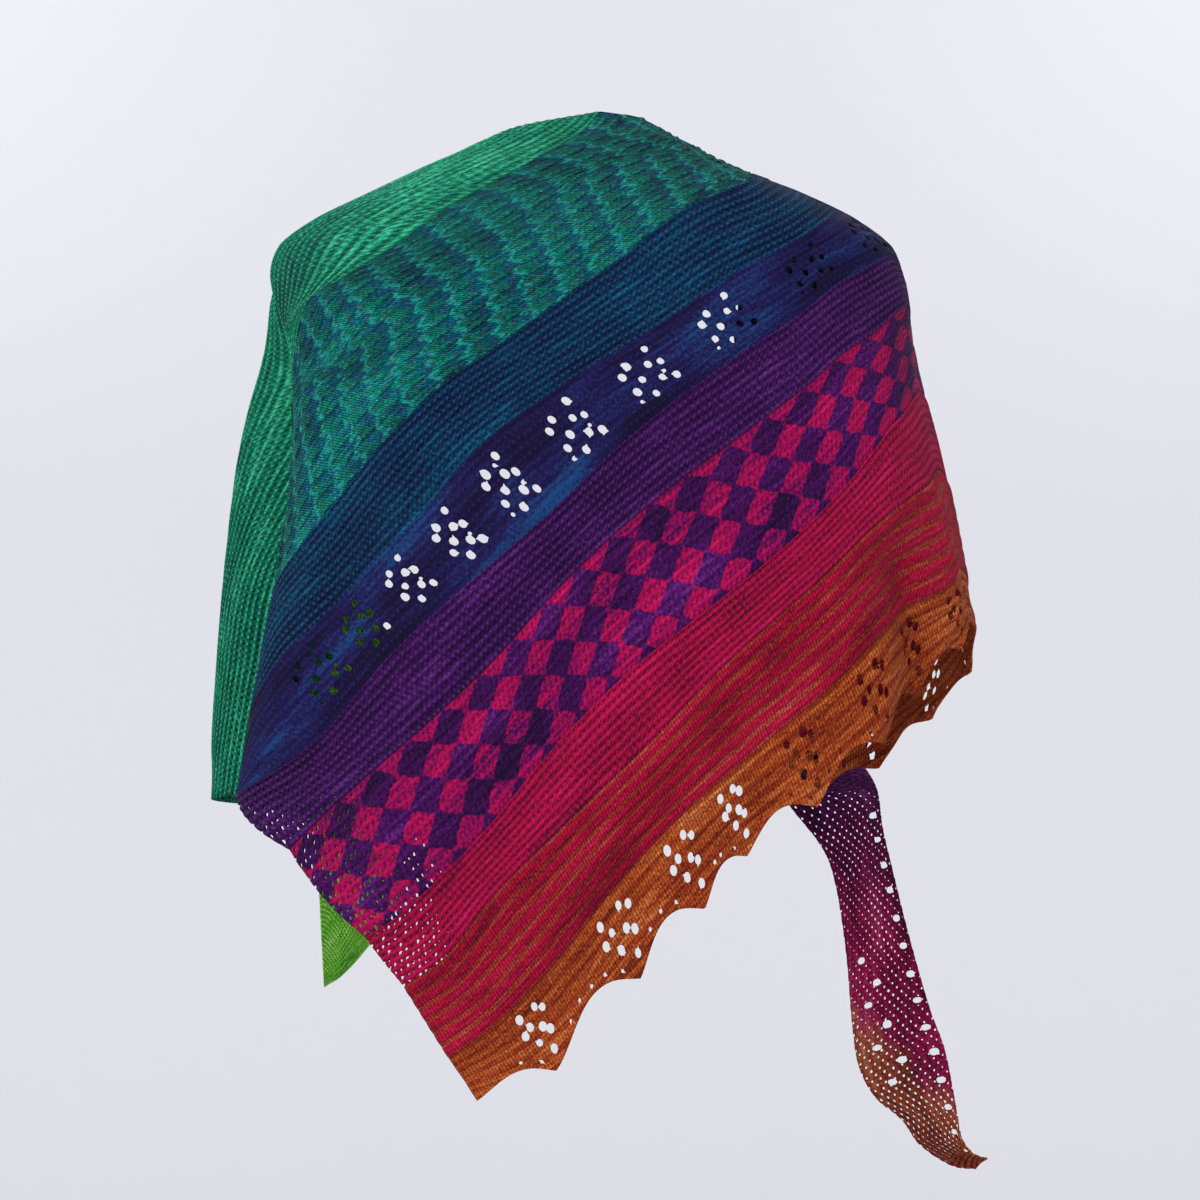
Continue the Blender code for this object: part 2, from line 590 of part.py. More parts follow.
class Hanging:
    """A sheet through level sections, measured down and across."""

    def __init__(self, sections):
        self.sections = sections
        middle = len(sections[0]) // 2
        self.run = [0.0]
        for a, b in zip(sections, sections[1:]):
            self.run.append(self.run[-1] + (b[middle] - a[middle]).length)
        self.length = self.run[-1]
        spans = [sum((b - a).length for a, b in zip(row, row[1:])) for row in sections[2:]]
        self.width = sum(spans) / len(spans)

    def step_at(self, u):
        """The step down the sections that lies u metres from the first."""
        last = len(self.run) - 1
        for i in range(last):
            if u <= self.run[i + 1]:
                return (i + (u - self.run[i]) / (self.run[i + 1] - self.run[i])) / last
        return 1.0

    def spot(self, t, s):
        down = t * (len(self.sections) - 1)
        row = [through([section[i] for section in self.sections], down)
               for i in range(len(self.sections[0]))]
        return Vector(through(row, s * (len(row) - 1)))

    def surface(self, t, s):
        across = self.spot(t, min(s + 0.02, 1.0)) - self.spot(t, max(s - 0.02, 0.0))
        return self.spot(t, s), across.cross(Vector((0.0, 0.0, -1.0))).normalized()


def make_lapel():
    top = LAPEL[0]["height"]
    low = LAPEL[-1]["height"]
    rows = 12
    sheet = Hanging([lapel_section(blend(top, low, j / rows)) for j in range(rows + 1)])
    columns = FOLD_STEPS + LAPEL_STEPS
    flat = [(j / rows, i / columns) for j in range(rows + 1) for i in range(columns + 1)]
    shell("front_lapel", flat, grid_faces(columns, rows), sheet.surface, (0.04, 0.03, 0.12))


def make_tail():
    """The pointed end of the cloth, with an eyelet edge and a few larger gaps."""
    # Its top stands a little forward, clear of the border behind it.
    clear = Vector((0.0, 3.0 * SEAM_GAP, 0.0))
    first = [spot + clear for spot in lapel_section(LAPEL[-1]["height"] - 2.0 * SEAM_GAP)]
    sheet = Hanging([first] + [tail_section(row) for row in TAIL])
    steps = 20
    columns = FOLD_STEPS + LAPEL_STEPS
    outline = ([(sheet.length * i / steps, 0.0) for i in range(steps + 1)]
               + [(sheet.length, sheet.width * i / 4) for i in range(1, 4)]
               + [(sheet.length * i / steps, sheet.width) for i in range(steps, -1, -1)]
               + [(0.0, sheet.width * i / columns) for i in range(columns - 1, 0, -1)])
    holes = [(sheet.length * (0.22 + 0.72 * i / (TAIL_EYELETS - 1)), sheet.width * 0.88)
             for i in range(TAIL_EYELETS)]
    holes += [(sheet.length * down, sheet.width * across) for down, across in TAIL_GAPS]
    lace_stretch("front_tail", sheet, outline, holes, TAIL_HOLE, 0.014, (0.30, 0.02, 0.09))


def main():
    remove_everything()
    make_left_front()
    make_back_bands()
    make_navy_lace()
    make_copper_stripes()
    make_orange_border()
    make_lapel()
    make_tail()


main()
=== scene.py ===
# %% [markdown]
# This lesson dresses a hand-knitted shawl that hangs round a wearer's shoulders. The
# imported model gives the solids and the frame; every piece here is a thin shell of
# knitting that stands in for one of those solids, which is then hidden.

# %% Load the frame
import bpy
import bmesh
import math
import numpy as np
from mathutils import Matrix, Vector


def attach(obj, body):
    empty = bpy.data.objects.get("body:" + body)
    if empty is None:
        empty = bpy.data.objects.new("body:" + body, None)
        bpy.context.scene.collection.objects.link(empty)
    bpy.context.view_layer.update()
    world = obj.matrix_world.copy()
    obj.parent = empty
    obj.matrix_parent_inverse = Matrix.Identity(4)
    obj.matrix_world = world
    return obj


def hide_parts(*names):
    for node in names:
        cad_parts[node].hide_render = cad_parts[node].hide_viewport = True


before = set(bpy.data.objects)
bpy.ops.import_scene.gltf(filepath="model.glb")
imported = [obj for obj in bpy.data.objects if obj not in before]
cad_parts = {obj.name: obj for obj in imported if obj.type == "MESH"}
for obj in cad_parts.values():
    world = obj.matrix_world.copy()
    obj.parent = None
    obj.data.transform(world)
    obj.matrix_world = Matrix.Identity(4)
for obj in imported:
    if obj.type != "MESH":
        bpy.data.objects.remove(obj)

TURN = 2.0 * math.pi
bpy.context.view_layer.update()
print("nodes:", ", ".join(sorted(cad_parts)))

# %% [markdown]
# Real cloth keeps its shape from the shoulders it lies on, so the drape comes first.
# A draped form could be sculpted or simulated. Here it is a short table: at each height,
# how far the cloth reaches to the left, to the right, to the back and to the front. A
# smooth curve runs round the wearer through eleven stations at every height, and each
# point on the cloth is then named by two numbers: its place round the form, from 0 at
# the left front to 10 at the right front, and its height.

# %% The draped form
SIDE_DEPTH = 0.055
VALLEY_TOP = -0.100
VALLEY_FULL = -0.190
# In millimetres: height; how far the front strip, left and right reach; back and front.
LEVELS = np.array([
    (6, -46, -46, 48, 0, 98),
    (-2, -56, -56, 56, -3, 104),
    (-13, -78, -78, 77, -8, 112),
    (-28, -111, -111, 106, -14, 120),
    (-44, -145, -145, 149, -20, 128),
    (-61, -180, -180, 185, -26, 136),
    (-80, -208, -206, 210, -32, 144),
    (-105, -221, -212, 219, -36, 152),
    (-155, -224, -199, 227, -42, 166),
    (-222, -238, -197, 244, -46, 178),
    (-290, -247, -205, 258, -48, 185),
    (-357, -254, -218, 268, -48, 188),
    (-442, -260, -232, 256, -47, 188),
    (-520, -262, -244, 250, -46, 187),
    (-640, -262, -246, 250, -45, 184),
    (-760, -262, -246, 250, -45, 182),
]) / 1000.0
# Soft creases of the drape: from one (place, height) to another, the half width, and the
# depth in metres, where ridges are positive and troughs negative.
CREASES = [
    ((6.55, -0.40), (6.62, -0.52), 0.015, -0.008),
    ((7.25, -0.30), (7.35, -0.42), 0.014, -0.009),
    ((7.00, -0.34), (7.05, -0.47), 0.017, 0.006),
    ((7.62, -0.26), (7.68, -0.38), 0.014, 0.005),
    ((7.70, -0.12), (6.90, -0.30), 0.028, 0.005),
    ((7.20, -0.11), (6.20, -0.33), 0.030, -0.004),
    ((4.70, -0.16), (5.00, -0.42), 0.026, -0.005),
    ((5.40, -0.30), (5.20, -0.55), 0.030, 0.004),
    ((1.00, -0.15), (1.05, -0.46), 0.022, -0.006),
    ((1.90, -0.12), (1.75, -0.42), 0.020, 0.004),
    ((8.50, -0.14), (8.90, -0.42), 0.024, -0.006),
    ((9.30, -0.12), (9.60, -0.38), 0.022, 0.004),
]
PLACE_METRES = 0.10
PLACE_STEP = 0.02
HEIGHT_STEP = 0.003


def blend(a, b, f):
    return a + (b - a) * f


def smooth_step(low, high, value):
    f = np.clip((value - low) / (high - low), 0.0, 1.0)
    return f * f * (3.0 - 2.0 * f)


def through(knots, place, each=False):
    """A smooth curve through knots, read at many places. With each, every place has its own knots."""
    if each:
        knots = np.moveaxis(knots, 1, 0)
    last = len(knots) - 1
    place = np.clip(place, 0.0, last)
    cell = np.minimum(place.astype(int), last - 1)
    padded = np.concatenate([2.0 * knots[:1] - knots[1:2], knots, 2.0 * knots[-1:] - knots[-2:-1]])
    own = (np.arange(len(place)),) if each else ()
    a, b, c, d = (padded[(cell + i,) + own] for i in range(4))
    f = (place - cell).reshape((-1,) + (1,) * (a.ndim - 1))
    return 0.5 * (2.0 * b + (c - a) * f + (2.0 * a - 5.0 * b + 4.0 * c - d) * f ** 2
                  + (3.0 * b - a - 3.0 * c + d) * f ** 3)


def creasing(place, height):
    """How far the creases lift the cloth at each place."""
    lift = np.zeros(len(place))
    spot = np.column_stack([place * PLACE_METRES, height])
    for start, end, width, depth in CREASES:
        start = np.array(start) * (PLACE_METRES, 1.0)
        run = np.array(end) * (PLACE_METRES, 1.0) - start
        f = np.clip((spot - start) @ run / (run @ run), 0.0, 1.0)
        away = np.linalg.norm(spot - start - f[:, None] * run, axis=1) / width
        lift += depth * np.exp(-away * away)
    return lift


def station(across, depth):
    return np.stack(np.broadcast_arrays(across, depth), 1)


def form_points(place, height):
    """Points of the draped form for arrays of places and heights."""
    level_place = np.interp(-height, -LEVELS[:, 0], np.arange(len(LEVELS)))
    strip, left, right, back, front = through(LEVELS[:, 1:], level_place).T
    chest = front - SIDE_DEPTH
    flank = SIDE_DEPTH - back
    valley = smooth_step(VALLEY_TOP, VALLEY_FULL, height)[:, None]
    plain = [(0.50 * strip, front - 0.04 * chest), (0.86 * strip, SIDE_DEPTH + 0.72 * chest),
             (0.975 * strip, SIDE_DEPTH + 0.42 * chest), (left, SIDE_DEPTH + 0.14 * chest),
             (0.985 * left, SIDE_DEPTH - 0.20 * flank)]
    folded = [(0.50 * strip, front - 0.04 * chest), (0.84 * strip, SIDE_DEPTH + 0.80 * chest),
              (strip, SIDE_DEPTH + 0.040), (left + 0.034, SIDE_DEPTH + 0.012),
              (left, SIDE_DEPTH - 0.032)]
    rest = [(0.70 * left, back + 0.20 * flank), (0.02 * right, back),
            (0.70 * right, back + 0.20 * flank), (right, SIDE_DEPTH),
            (0.88 * right, SIDE_DEPTH + 0.64 * chest), (0.50 * right, front - 0.04 * chest)]
    stations = [blend(station(*p), station(*f), valley) for p, f in zip(plain, folded)]
    stations = np.stack(stations + [station(*r) for r in rest], axis=1)
    flat = through(stations, place, each=True)
    side = (through(stations, place + PLACE_STEP, each=True)
            - through(stations, place - PLACE_STEP, each=True))
    outward = np.column_stack([side[:, 1], -side[:, 0]])
    outward /= np.maximum(np.linalg.norm(outward, axis=1), 1e-9)[:, None]
    return np.column_stack([flat + outward * creasing(place, height)[:, None], height])


def form_normals(place, height):
    """Directions away from the wearer, from two short steps along the form."""
    across = form_points(place + PLACE_STEP, height) - form_points(place - PLACE_STEP, height)
    down = form_points(place, height - HEIGHT_STEP) - form_points(place, height + HEIGHT_STEP)
    normal = np.cross(down, across)
    return normal / np.linalg.norm(normal, axis=1)[:, None]


corner = form_points(np.array([0.0, 6.0, 10.0]), np.array([-0.2, -0.2, -0.2]))
print("left front, spine and right front at one height:", np.round(corner, 3).tolist())

# %% [markdown]
# A knitter makes this cloth in rows, and the bands of colour follow them. Each line
# between two bands is a row course: a few points as seen from behind, in millimetres
# across and down from the nape, and hidden ends as places round the form. A seen point
# is put on the form along the line of sight.

# %% Row courses
VIEW_DISTANCE = 2.0
VIEW_X = 0.0107
VIEW_Z = -0.323
LEFT_PLACE = 3.98
SHOULDER_PLACE = 8.0
SHOULDER_STEP = 0.7222222
FIRST_DEPTH = -0.03
SIGHT_ROUNDS = 6
HALVINGS = 24
FINE_STEPS = 480
COURSES = {
    "tip": dict(start=[(0.62, -0.604)], end=[(0.42, -0.590), (0.00, -0.540)]),
    "light": dict(start=[(0.68, -0.484)], end=[(0.60, -0.34), (0.50, -0.140)]),
    "spring": dict(start=[(1.30, -0.470), (1.38, -0.30)], end=[(1.35, -0.10), (1.20, -0.03)],
                   share=0.76),
    "green": dict(start=[(3.00, -0.452), (3.10, -0.36), (3.25, -0.26)],
                  seen=[(-201, 139), (-168, 105), (-134, 84), (-101, 60), (-67, 42), (-34, 23),
                        (0, -4)], share=0.92),
    "leaf": dict(start=[(3.30, -0.456), (3.40, -0.36), (3.60, -0.27)],
                 seen=[(-201, 191), (-168, 160), (-134, 126), (-67, 80), (0, 34)],
                 end=[(6.85, -0.021), (7.60, -0.010), (8.80, -0.006)], share=0.90),
    "teal": dict(start=[(3.45, -0.460), (3.60, -0.39), (3.80, -0.335)],
                 seen=[(-201, 288), (-168, 246), (-134, 206), (-101, 175), (-67, 152), (0, 104),
                       (67, 56), (101, 38)],
                 end=[(8.00, -0.040), (9.00, -0.066), (10.0, -0.105)]),
    "blue": dict(start=[(3.75, -0.464), (3.90, -0.41)],
                 seen=[(-214, 363), (-188, 337), (-151, 298), (-117, 262), (-84, 223), (-34, 185),
                       (34, 142), (101, 98), (151, 69)],
                 end=[(8.00, -0.062), (9.00, -0.115), (10.0, -0.175)]),
    "lace": dict(seen=[(-243, 455), (-218, 438), (-184, 411), (-134, 353), (-84, 308),
                       (-34, 265), (17, 216), (67, 177), (117, 143), (168, 106)],
                 end=[(8.00, -0.092), (9.00, -0.170), (10.0, -0.240)]),
    "purple": dict(seen=[(-208, 490), (-174, 457), (-124, 413), (-74, 366), (-24, 311),
                         (34, 258), (84, 220), (134, 183), (175, 150)],
                   end=[(8.00, -0.124), (9.00, -0.215), (10.0, -0.290)]),
    "check": dict(seen=[(-157, 549), (-131, 531), (-84, 485), (-34, 425), (17, 373),
                        (67, 333), (117, 293), (168, 242), (201, 200)],
                  end=[(8.00, -0.186), (9.00, -0.275), (10.0, -0.345)]),
    "magenta": dict(seen=[(-131, 582), (-101, 560), (-67, 517), (-17, 468), (34, 419),
                          (84, 367), (134, 322), (184, 274), (218, 248)],
                    end=[(8.00, -0.240), (9.00, -0.325), (10.0, -0.392)]),
    "copper": dict(seen=[(-101, 630), (-74, 611), (-34, 571), (7, 519), (54, 468),
                         (101, 427), (151, 385), (191, 343), (228, 318)],
                   end=[(8.00, -0.304), (9.00, -0.378), (10.0, -0.440)]),
    "edge": dict(seen=[(-82, 658), (-27, 636), (29, 574), (71, 528), (99, 494),
                       (147, 461), (192, 417), (213, 385), (240, 357)],
                 end=[(8.00, -0.345), (8.90, -0.425), (10.0, -0.495)]),
}


def sighted(seen):
    """The place and height on the back where seen points lie, along the line of sight."""
    depth = np.full(len(seen), FIRST_DEPTH)
    for _ in range(SIGHT_ROUNDS):
        spread = (VIEW_DISTANCE + depth) / VIEW_DISTANCE
        x = VIEW_X + seen[:, 0] / 1000.0 * spread
        height = np.minimum(VIEW_Z + (-seen[:, 1] / 1000.0 - VIEW_Z) * spread, LEVELS[0, 0])
        low, high = np.full(len(seen), LEFT_PLACE), np.full(len(seen), SHOULDER_PLACE)
        for _ in range(HALVINGS):
            place = 0.5 * (low + high)
            short = form_points(place, height)[:, 0] < x
            low = np.where(short, place, low)
            high = np.where(short, high, place)
        depth = form_points(place, height)[:, 1]
    return np.column_stack([place, height])


def course(name):
    """A row course: its fine (place, height) pairs, and its length up to each."""
    row = COURSES[name]
    start, seen, end = (np.array(row.get(part, []), dtype=float).reshape(-1, 2)
                        for part in ("start", "seen", "end"))
    knots = np.concatenate([start, sighted(seen) if len(seen) else seen, end])
    fine = through(knots, np.linspace(0.0, len(knots) - 1.0, FINE_STEPS + 1))
    points = form_points(fine[:, 0], fine[:, 1])
    run = np.concatenate([[0.0], np.cumsum(np.linalg.norm(np.diff(points, axis=0), axis=1))])
    if "share" in row:
        shoulder = run[-1] * row["share"]
    else:
        crossed = run[fine[:, 0] >= SHOULDER_PLACE]
        shoulder = crossed[0] if len(crossed) else run[-1] * SHOULDER_STEP
    return dict(fine=fine, run=run, shoulder=shoulder)


def along(edge, t):
    """The (place, height) pairs at steps of a course, from 0 at its start to 1 at its end."""
    goal = np.interp(t, [0.0, SHOULDER_STEP, 1.0], [0.0, edge["shoulder"], edge["run"][-1]])
    return np.column_stack([np.interp(goal, edge["run"], edge["fine"][:, i]) for i in range(2)])


class Stretch:
    """The cloth between two courses. Its patterns are measured in metres on the cloth."""

    def __init__(self, upper, lower):
        self.upper, self.lower = course(upper), course(lower)
        self.back_length = 0.5 * (self.upper["shoulder"] + self.lower["shoulder"])
        self.length = 0.5 * (self.upper["run"][-1] + self.lower["run"][-1])
        steps = np.arange(2, 19) / 20.0
        gap = self.spots(steps, np.ones_like(steps))[0] - self.spots(steps, np.zeros_like(steps))[0]
        self.width = float(np.linalg.norm(gap, axis=1).mean())

    def steps_at(self, u):
        return np.interp(u, [0.0, self.back_length, self.length], [0.0, SHOULDER_STEP, 1.0])

    def metres_at(self, t):
        return np.interp(t, [0.0, SHOULDER_STEP, 1.0], [0.0, self.back_length, self.length])

    def spots(self, t, s):
        """Points and outward directions at steps along the rows and across them."""
        spot = blend(along(self.upper, t), along(self.lower, t), s[:, None])
        return form_points(spot[:, 0], spot[:, 1]), form_normals(spot[:, 0], spot[:, 1])


lace = Stretch("blue", "lace")
print(f"the lace band is {lace.length:.2f} m along its rows and {lace.width * 1000:.0f} mm across")

# %% [markdown]
# At the right front the cloth turns back on itself as a lapel, and below the lapel its
# pointed end hangs free as a tail. Both could be cut from the same surface as the back,
# but a turned edge is easier to draw as level sections: a small arc for the fold, then
# a line back over the front. A curve through the sections gives every spot between them.

# %% The lapel and the tail
FOLD_PLACE = 10.0
FOLD_RADIUS = 0.0035
FOLD_GAP = 0.0008
FOLD_STEPS = 4
LAPEL_STEPS = 4
LAPEL_SECTIONS = 13
FOLD_BEFORE = 0.03
TAIL_TWIST = 0.004
TAIL_BULGE = 0.003
# The tail starts just below the lapel and a little in front of it.
TAIL_DROP = 0.0006
TAIL_FORWARD = np.array([0.0, 0.0009, 0.0])
# Height, and the place round the form that the eyelet edge reaches there.
LAPEL = np.array([(-0.118, 9.60), (-0.200, 9.15), (-0.290, 9.12), (-0.380, 9.22), (-0.440, 9.34)])
# In millimetres: inner end across and up, eyelet end across and up, and how far forward.
TAIL = np.array([
    (150, -474, 214, -462, 193),
    (174, -505, 218, -490, 191),
    (184, -533, 224, -516, 190),
    (192, -583, 237, -567, 195),
    (197, -638, 253, -622, 200),
    (202, -668, 264, -652, 200),
    (214, -690, 270, -680, 200),
    (233, -706, 274, -703, 200),
    (247, -725, 277.5, -720, 200),
    (270, -740, 286, -731, 200),
    (288, -742.5, 296, -734.5, 200),
]) / 1000.0


def unit(vectors):
    return vectors / np.linalg.norm(vectors, axis=-1, keepdims=True)


def lapel_section(height):
    """A level section of the lapel, from the fold to the eyelet edge."""
    place = np.interp(-height, -LAPEL[:, 0], np.arange(len(LAPEL)))
    reach = float(through(LAPEL[:, 1:], np.array([place]))[0, 0])
    level = np.array([height])
    edge = form_points(np.array([FOLD_PLACE]), level)[0]
    normal = form_normals(np.array([FOLD_PLACE]), level)[0]
    beyond = unit(edge - form_points(np.array([FOLD_PLACE - FOLD_BEFORE]), level)[0])
    angle = np.pi * np.arange(FOLD_STEPS + 1)[:, None] / FOLD_STEPS
    arc = edge + beyond * FOLD_GAP + normal * FOLD_RADIUS
    arc = arc + (beyond * np.sin(angle) - normal * np.cos(angle)) * FOLD_RADIUS
    places = FOLD_PLACE + (reach - FOLD_PLACE) * np.arange(1, LAPEL_STEPS + 1) / LAPEL_STEPS
    levels = np.full(LAPEL_STEPS, height)
    back = form_points(places, levels) + form_normals(places, levels) * 2.0 * FOLD_RADIUS
    return np.concatenate([arc, back])


def tail_section(row):
    """A section of the tail with as many spots as the lapel's, evenly spread."""
    inner = np.array([row[0], row[4] + TAIL_TWIST, row[1]])
    outer = np.array([row[2], row[4], row[3]])
    f = np.linspace(0.0, 1.0, FOLD_STEPS + LAPEL_STEPS + 1)[:, None]
    return inner + (outer - inner) * f + np.sin(np.pi * f) * np.array([0.0, TAIL_BULGE, 0.0])


class Hanging:
    """A sheet through level sections. Its u runs down and its v across."""

    def __init__(self, sections):
        self.sections = np.array(sections)
        middle = self.sections.shape[1] // 2
        steps = np.diff(self.sections[:, middle], axis=0)
        self.run = np.concatenate([[0.0], np.cumsum(np.linalg.norm(steps, axis=1))])
        self.length = float(self.run[-1])
        spans = np.linalg.norm(np.diff(self.sections[2:], axis=1), axis=2).sum(axis=1)
        self.width = float(spans.mean())

    def steps_at(self, u):
        return np.interp(u, self.run, np.linspace(0.0, 1.0, len(self.run)))

    def metres_at(self, t):
        return t * self.length

    def points(self, t, s):
        rows = through(self.sections, t * (len(self.sections) - 1))
        return through(rows, s * (self.sections.shape[1] - 1), each=True)

    def spots(self, t, s):
        across = (self.points(t, np.minimum(s + PLACE_STEP, 1.0))
                  - self.points(t, np.maximum(s - PLACE_STEP, 0.0)))
        return self.points(t, s), unit(np.cross(across, np.array([0.0, 0.0, -1.0])))


lapel = Hanging([lapel_section(h) for h in np.linspace(LAPEL[0, 0], LAPEL[-1, 0], LAPEL_SECTIONS)])
tail_top = lapel_section(LAPEL[-1, 0] - TAIL_DROP) + TAIL_FORWARD
tail = Hanging([tail_top] + [tail_section(row) for row in TAIL])
print(f"lapel {lapel.length:.2f} x {lapel.width:.3f} m, tail {tail.length:.2f} x {tail.width:.3f} m")

# %% [markdown]
# Each piece is a thin sheet of knitting. A flat grid is the honest start for cloth:
# bmesh makes it with its UV map, and the grid is then laid on the form by moving its
# vertices, just as the knitting lies on shoulders. The UV map keeps metres along the
# rows and across them, so every stitch pattern has its real size.

# %% Laying a grid on the form
STITCH = 0.0045
ROW = 0.0030
SHEET = 0.0015
# Spots nearer to a rim than this share of a step move onto it, but not from its middle.
SNAP = 0.60
HOLE_MIDDLE = 0.05
COLLECTION = bpy.data.collections.new("Knitted shawl")
bpy.context.scene.collection.children.link(COLLECTION)


def snap_to_holes(u, v, holes, cell):
    """Moves the grid's spots that lie near an oval hole onto its rim."""
    inside = np.zeros(len(u), dtype=bool)
    for cu, cv, hu, hv in holes:
        du, dv = (u - cu) / hu, (v - cv) / hv
        away = np.hypot(du, dv)
        near = (np.abs(away - 1.0) * min(hu, hv) < SNAP * cell) & (away > HOLE_MIDDLE)
        grow = 1.0 / away[near]
        u[near] = cu + du[near] * hu * grow
        v[near] = cv + dv[near] * hv * grow
        inside |= (away < 1.0) & ~near
    return inside


def knitted(node, step, relief, holes=(), hem=None):
    """Lays the knitting of one node. Its step is given along and across, in metres."""
    surface = SURFACES[node]
    name = node + "_knit"
    columns = max(2, round(surface.length / step[0]))
    rows = max(2, round(surface.width / step[1]))
    mesh = bmesh.new()
    uv_layer = mesh.loops.layers.uv.new("cloth")
    bmesh.ops.create_grid(mesh, x_segments=columns, y_segments=rows, size=0.5, calc_uvs=True)
    flat = np.array([vert.co[:2] for vert in mesh.verts]) + 0.5
    u = surface.metres_at(flat[:, 0])
    width = hem(u) if hem else np.full(len(u), surface.width)
    v = flat[:, 1] * width
    inside = snap_to_holes(u, v, holes, min(step))
    points, normals = surface.spots(surface.steps_at(u), np.clip(v / surface.width, 0.0, 1.0))
    points = points + normals * relief(u, v)[:, None]
    for vert, point in zip(mesh.verts, points):
        vert.co = point
    for face in mesh.faces:
        face.smooth = True
        for loop in face.loops:
            index = loop.vert.index
            loop[uv_layer].uv = (u[index], v[index])
    if holes:
        open_faces = [face for face in mesh.faces if any(inside[vert.index] for vert in face.verts)]
        bmesh.ops.delete(mesh, geom=open_faces, context="FACES")
    mesh.faces.ensure_lookup_table()
    middle = mesh.faces[len(mesh.faces) // 2]
    nearest = int(np.argmin(np.linalg.norm(points - np.array(middle.calc_center_median()), axis=1)))
    mesh.normal_update()
    if middle.normal.dot(Vector(normals[nearest])) < 0.0:
        bmesh.ops.reverse_faces(mesh, faces=mesh.faces)
    data = bpy.data.meshes.new(name)
    mesh.to_mesh(data)
    mesh.free()
    piece = bpy.data.objects.new(name, data)
    COLLECTION.objects.link(piece)
    solid = piece.modifiers.new("Yarn thickness", "SOLIDIFY")
    solid.thickness = SHEET
    solid.offset = 0.0
    PIECES[node] = piece
    print(f"{name}: {len(data.polygons)} faces")


def ridges(pitch, height, wander=0.0004):
    """Garter ridges across the cloth, a little uneven along the rows."""
    def relief(u, v):
        drift = wander * np.sin(u * 61.0 + 2.0 * np.sin(u * 23.0)) / pitch
        return height * np.cos(TURN * (v / pitch + drift))
    return relief


# %% [markdown]
# The bands come first. Garter knitting stands up in ridges, two rows to a ridge, so its
# ridges are real: they catch the light at the edge of the shawl as well as on its face.
# The slipped and checked bands are flatter, and their stitches are left to the bump.

# %% The bands of the back
GARTER = 0.0052
GARTER_HEIGHT = 0.0005
BLOCK_LONG = 0.0240
BLOCK_HIGH = 0.0118
DIAMOND_LONG = 0.0310
DIAMOND_HIGH = 0.0212
DIAMOND_LEAN = 0.35
DIAMOND_SINK = 0.0005
CREST_PLACE = 0.86
CREST_WIDTH = 0.10
CREST_HEIGHT = 0.0011
BLOCK_RISE = 0.0003
BAND_STEP = (0.0045, 0.0013)
SLIP_STEP = (0.0025, 0.00125)
DIAMOND_STEP = (0.0025, 0.0020)
BANDS = ["light_green_tip", "light_green_front", "green_garter", "teal_slip_upper",
         "teal_slip_lower", "blue_garter", "navy_lace", "purple_garter", "check_band",
         "magenta_garter", "copper_stripes", "orange_border"]
names = list(COURSES)
SURFACES = {node: Stretch(upper, lower) for node, upper, lower in zip(BANDS, names, names[1:])}
SURFACES.update(front_lapel=lapel, front_tail=tail)
PIECES = {}
for node in ("light_green_tip", "light_green_front", "green_garter", "blue_garter",
             "purple_garter", "magenta_garter"):
    knitted(node, BAND_STEP, ridges(GARTER, GARTER_HEIGHT))


def slipped_relief(u, v):
    """A short raised ridge at the end of every second block, each row offset from the last."""
    row = v / BLOCK_HIGH
    wave = np.cos(TURN * (u / BLOCK_LONG + 0.5 * np.floor(row)))
    crest = np.exp(-(((row % 1.0) - CREST_PLACE) / CREST_WIDTH) ** 2)
    return CREST_HEIGHT * smooth_step(-0.2, 0.5, wave) * crest + BLOCK_RISE * wave


def diamond_relief(u, v):
    """Diamonds of the second yarn, a little sunken."""
    slant = np.cos(TURN * (u + DIAMOND_LEAN * v) / DIAMOND_LONG)
    return -DIAMOND_SINK * smooth_step(-0.3, 0.3, slant + np.cos(TURN * v / DIAMOND_HIGH))


for node in ("teal_slip_upper", "teal_slip_lower"):
    knitted(node, SLIP_STEP, slipped_relief)
knitted("check_band", DIAMOND_STEP, diamond_relief)
print(len(PIECES), "bands so far")

# %% [markdown]
# Near the lower edge six soft raised stripes run along the rows: a few rows of smooth
# knitting roll forward between sunken ridges. They are modelled, because their rounded
# shadow shows from far off, where a bump would look painted.

# %% The raised stripes
STRIPES = 6
STRIPE_HEIGHT = 0.0018
STRIPE_STEP = (0.0040, 0.0014)


def stripe_relief(u, v):
    phase = np.pi * STRIPES * v / SURFACES["copper_stripes"].width
    uneven = 1.0 + 0.25 * np.sin(u * 17.0) * np.sin(u * 41.0 + 1.0)
    return STRIPE_HEIGHT * np.abs(np.sin(phase)) ** 1.3 * uneven


knitted("copper_stripes", STRIPE_STEP, stripe_relief)
print("stripes:", STRIPES)

# %% [markdown]
# Lace is knitting with holes made on purpose. The navy band carries a row of flowers,
# each of fourteen holes. The holes could be an alpha mask, but then their rims would have
# no thickness, so here each is cut in the grid: spots near a rim move onto it, and the
# faces inside go.

# %% The navy lace
FLOWER = np.array([
    (-14.0, -22.7), (2.9, -20.0), (10.8, -16.2), (-6.2, -12.1), (5.4, -5.4), (13.1, -2.5),
    (-13.4, -7.6), (-4.6, 1.3), (6.5, 7.6), (14.9, 11.7), (-13.0, 6.5), (-4.4, 14.5),
    (7.0, 20.2), (-9.2, 20.2),
]) / 1000.0
FLOWER_PITCH = 0.0620
FLOWERS = [-0.150, -0.090, -0.028, 0.034, 0.098, 0.168, 0.231, 0.2915, 0.348, 0.3955, 0.439,
           0.482, 0.527]
FLOWER_HOLE = (0.0025, 0.0032)
SMALL_SPOTS = np.array([
    (-8.0, -17.5), (4.5, -12.5), (-1.0, -4.0), (-9.5, -0.5), (10.5, 4.6), (0.6, 11.5),
    (14.0, -10.0), (-15.5, 13.5),
]) / 1000.0
SMALL_HOLE = (0.0013, 0.0015)
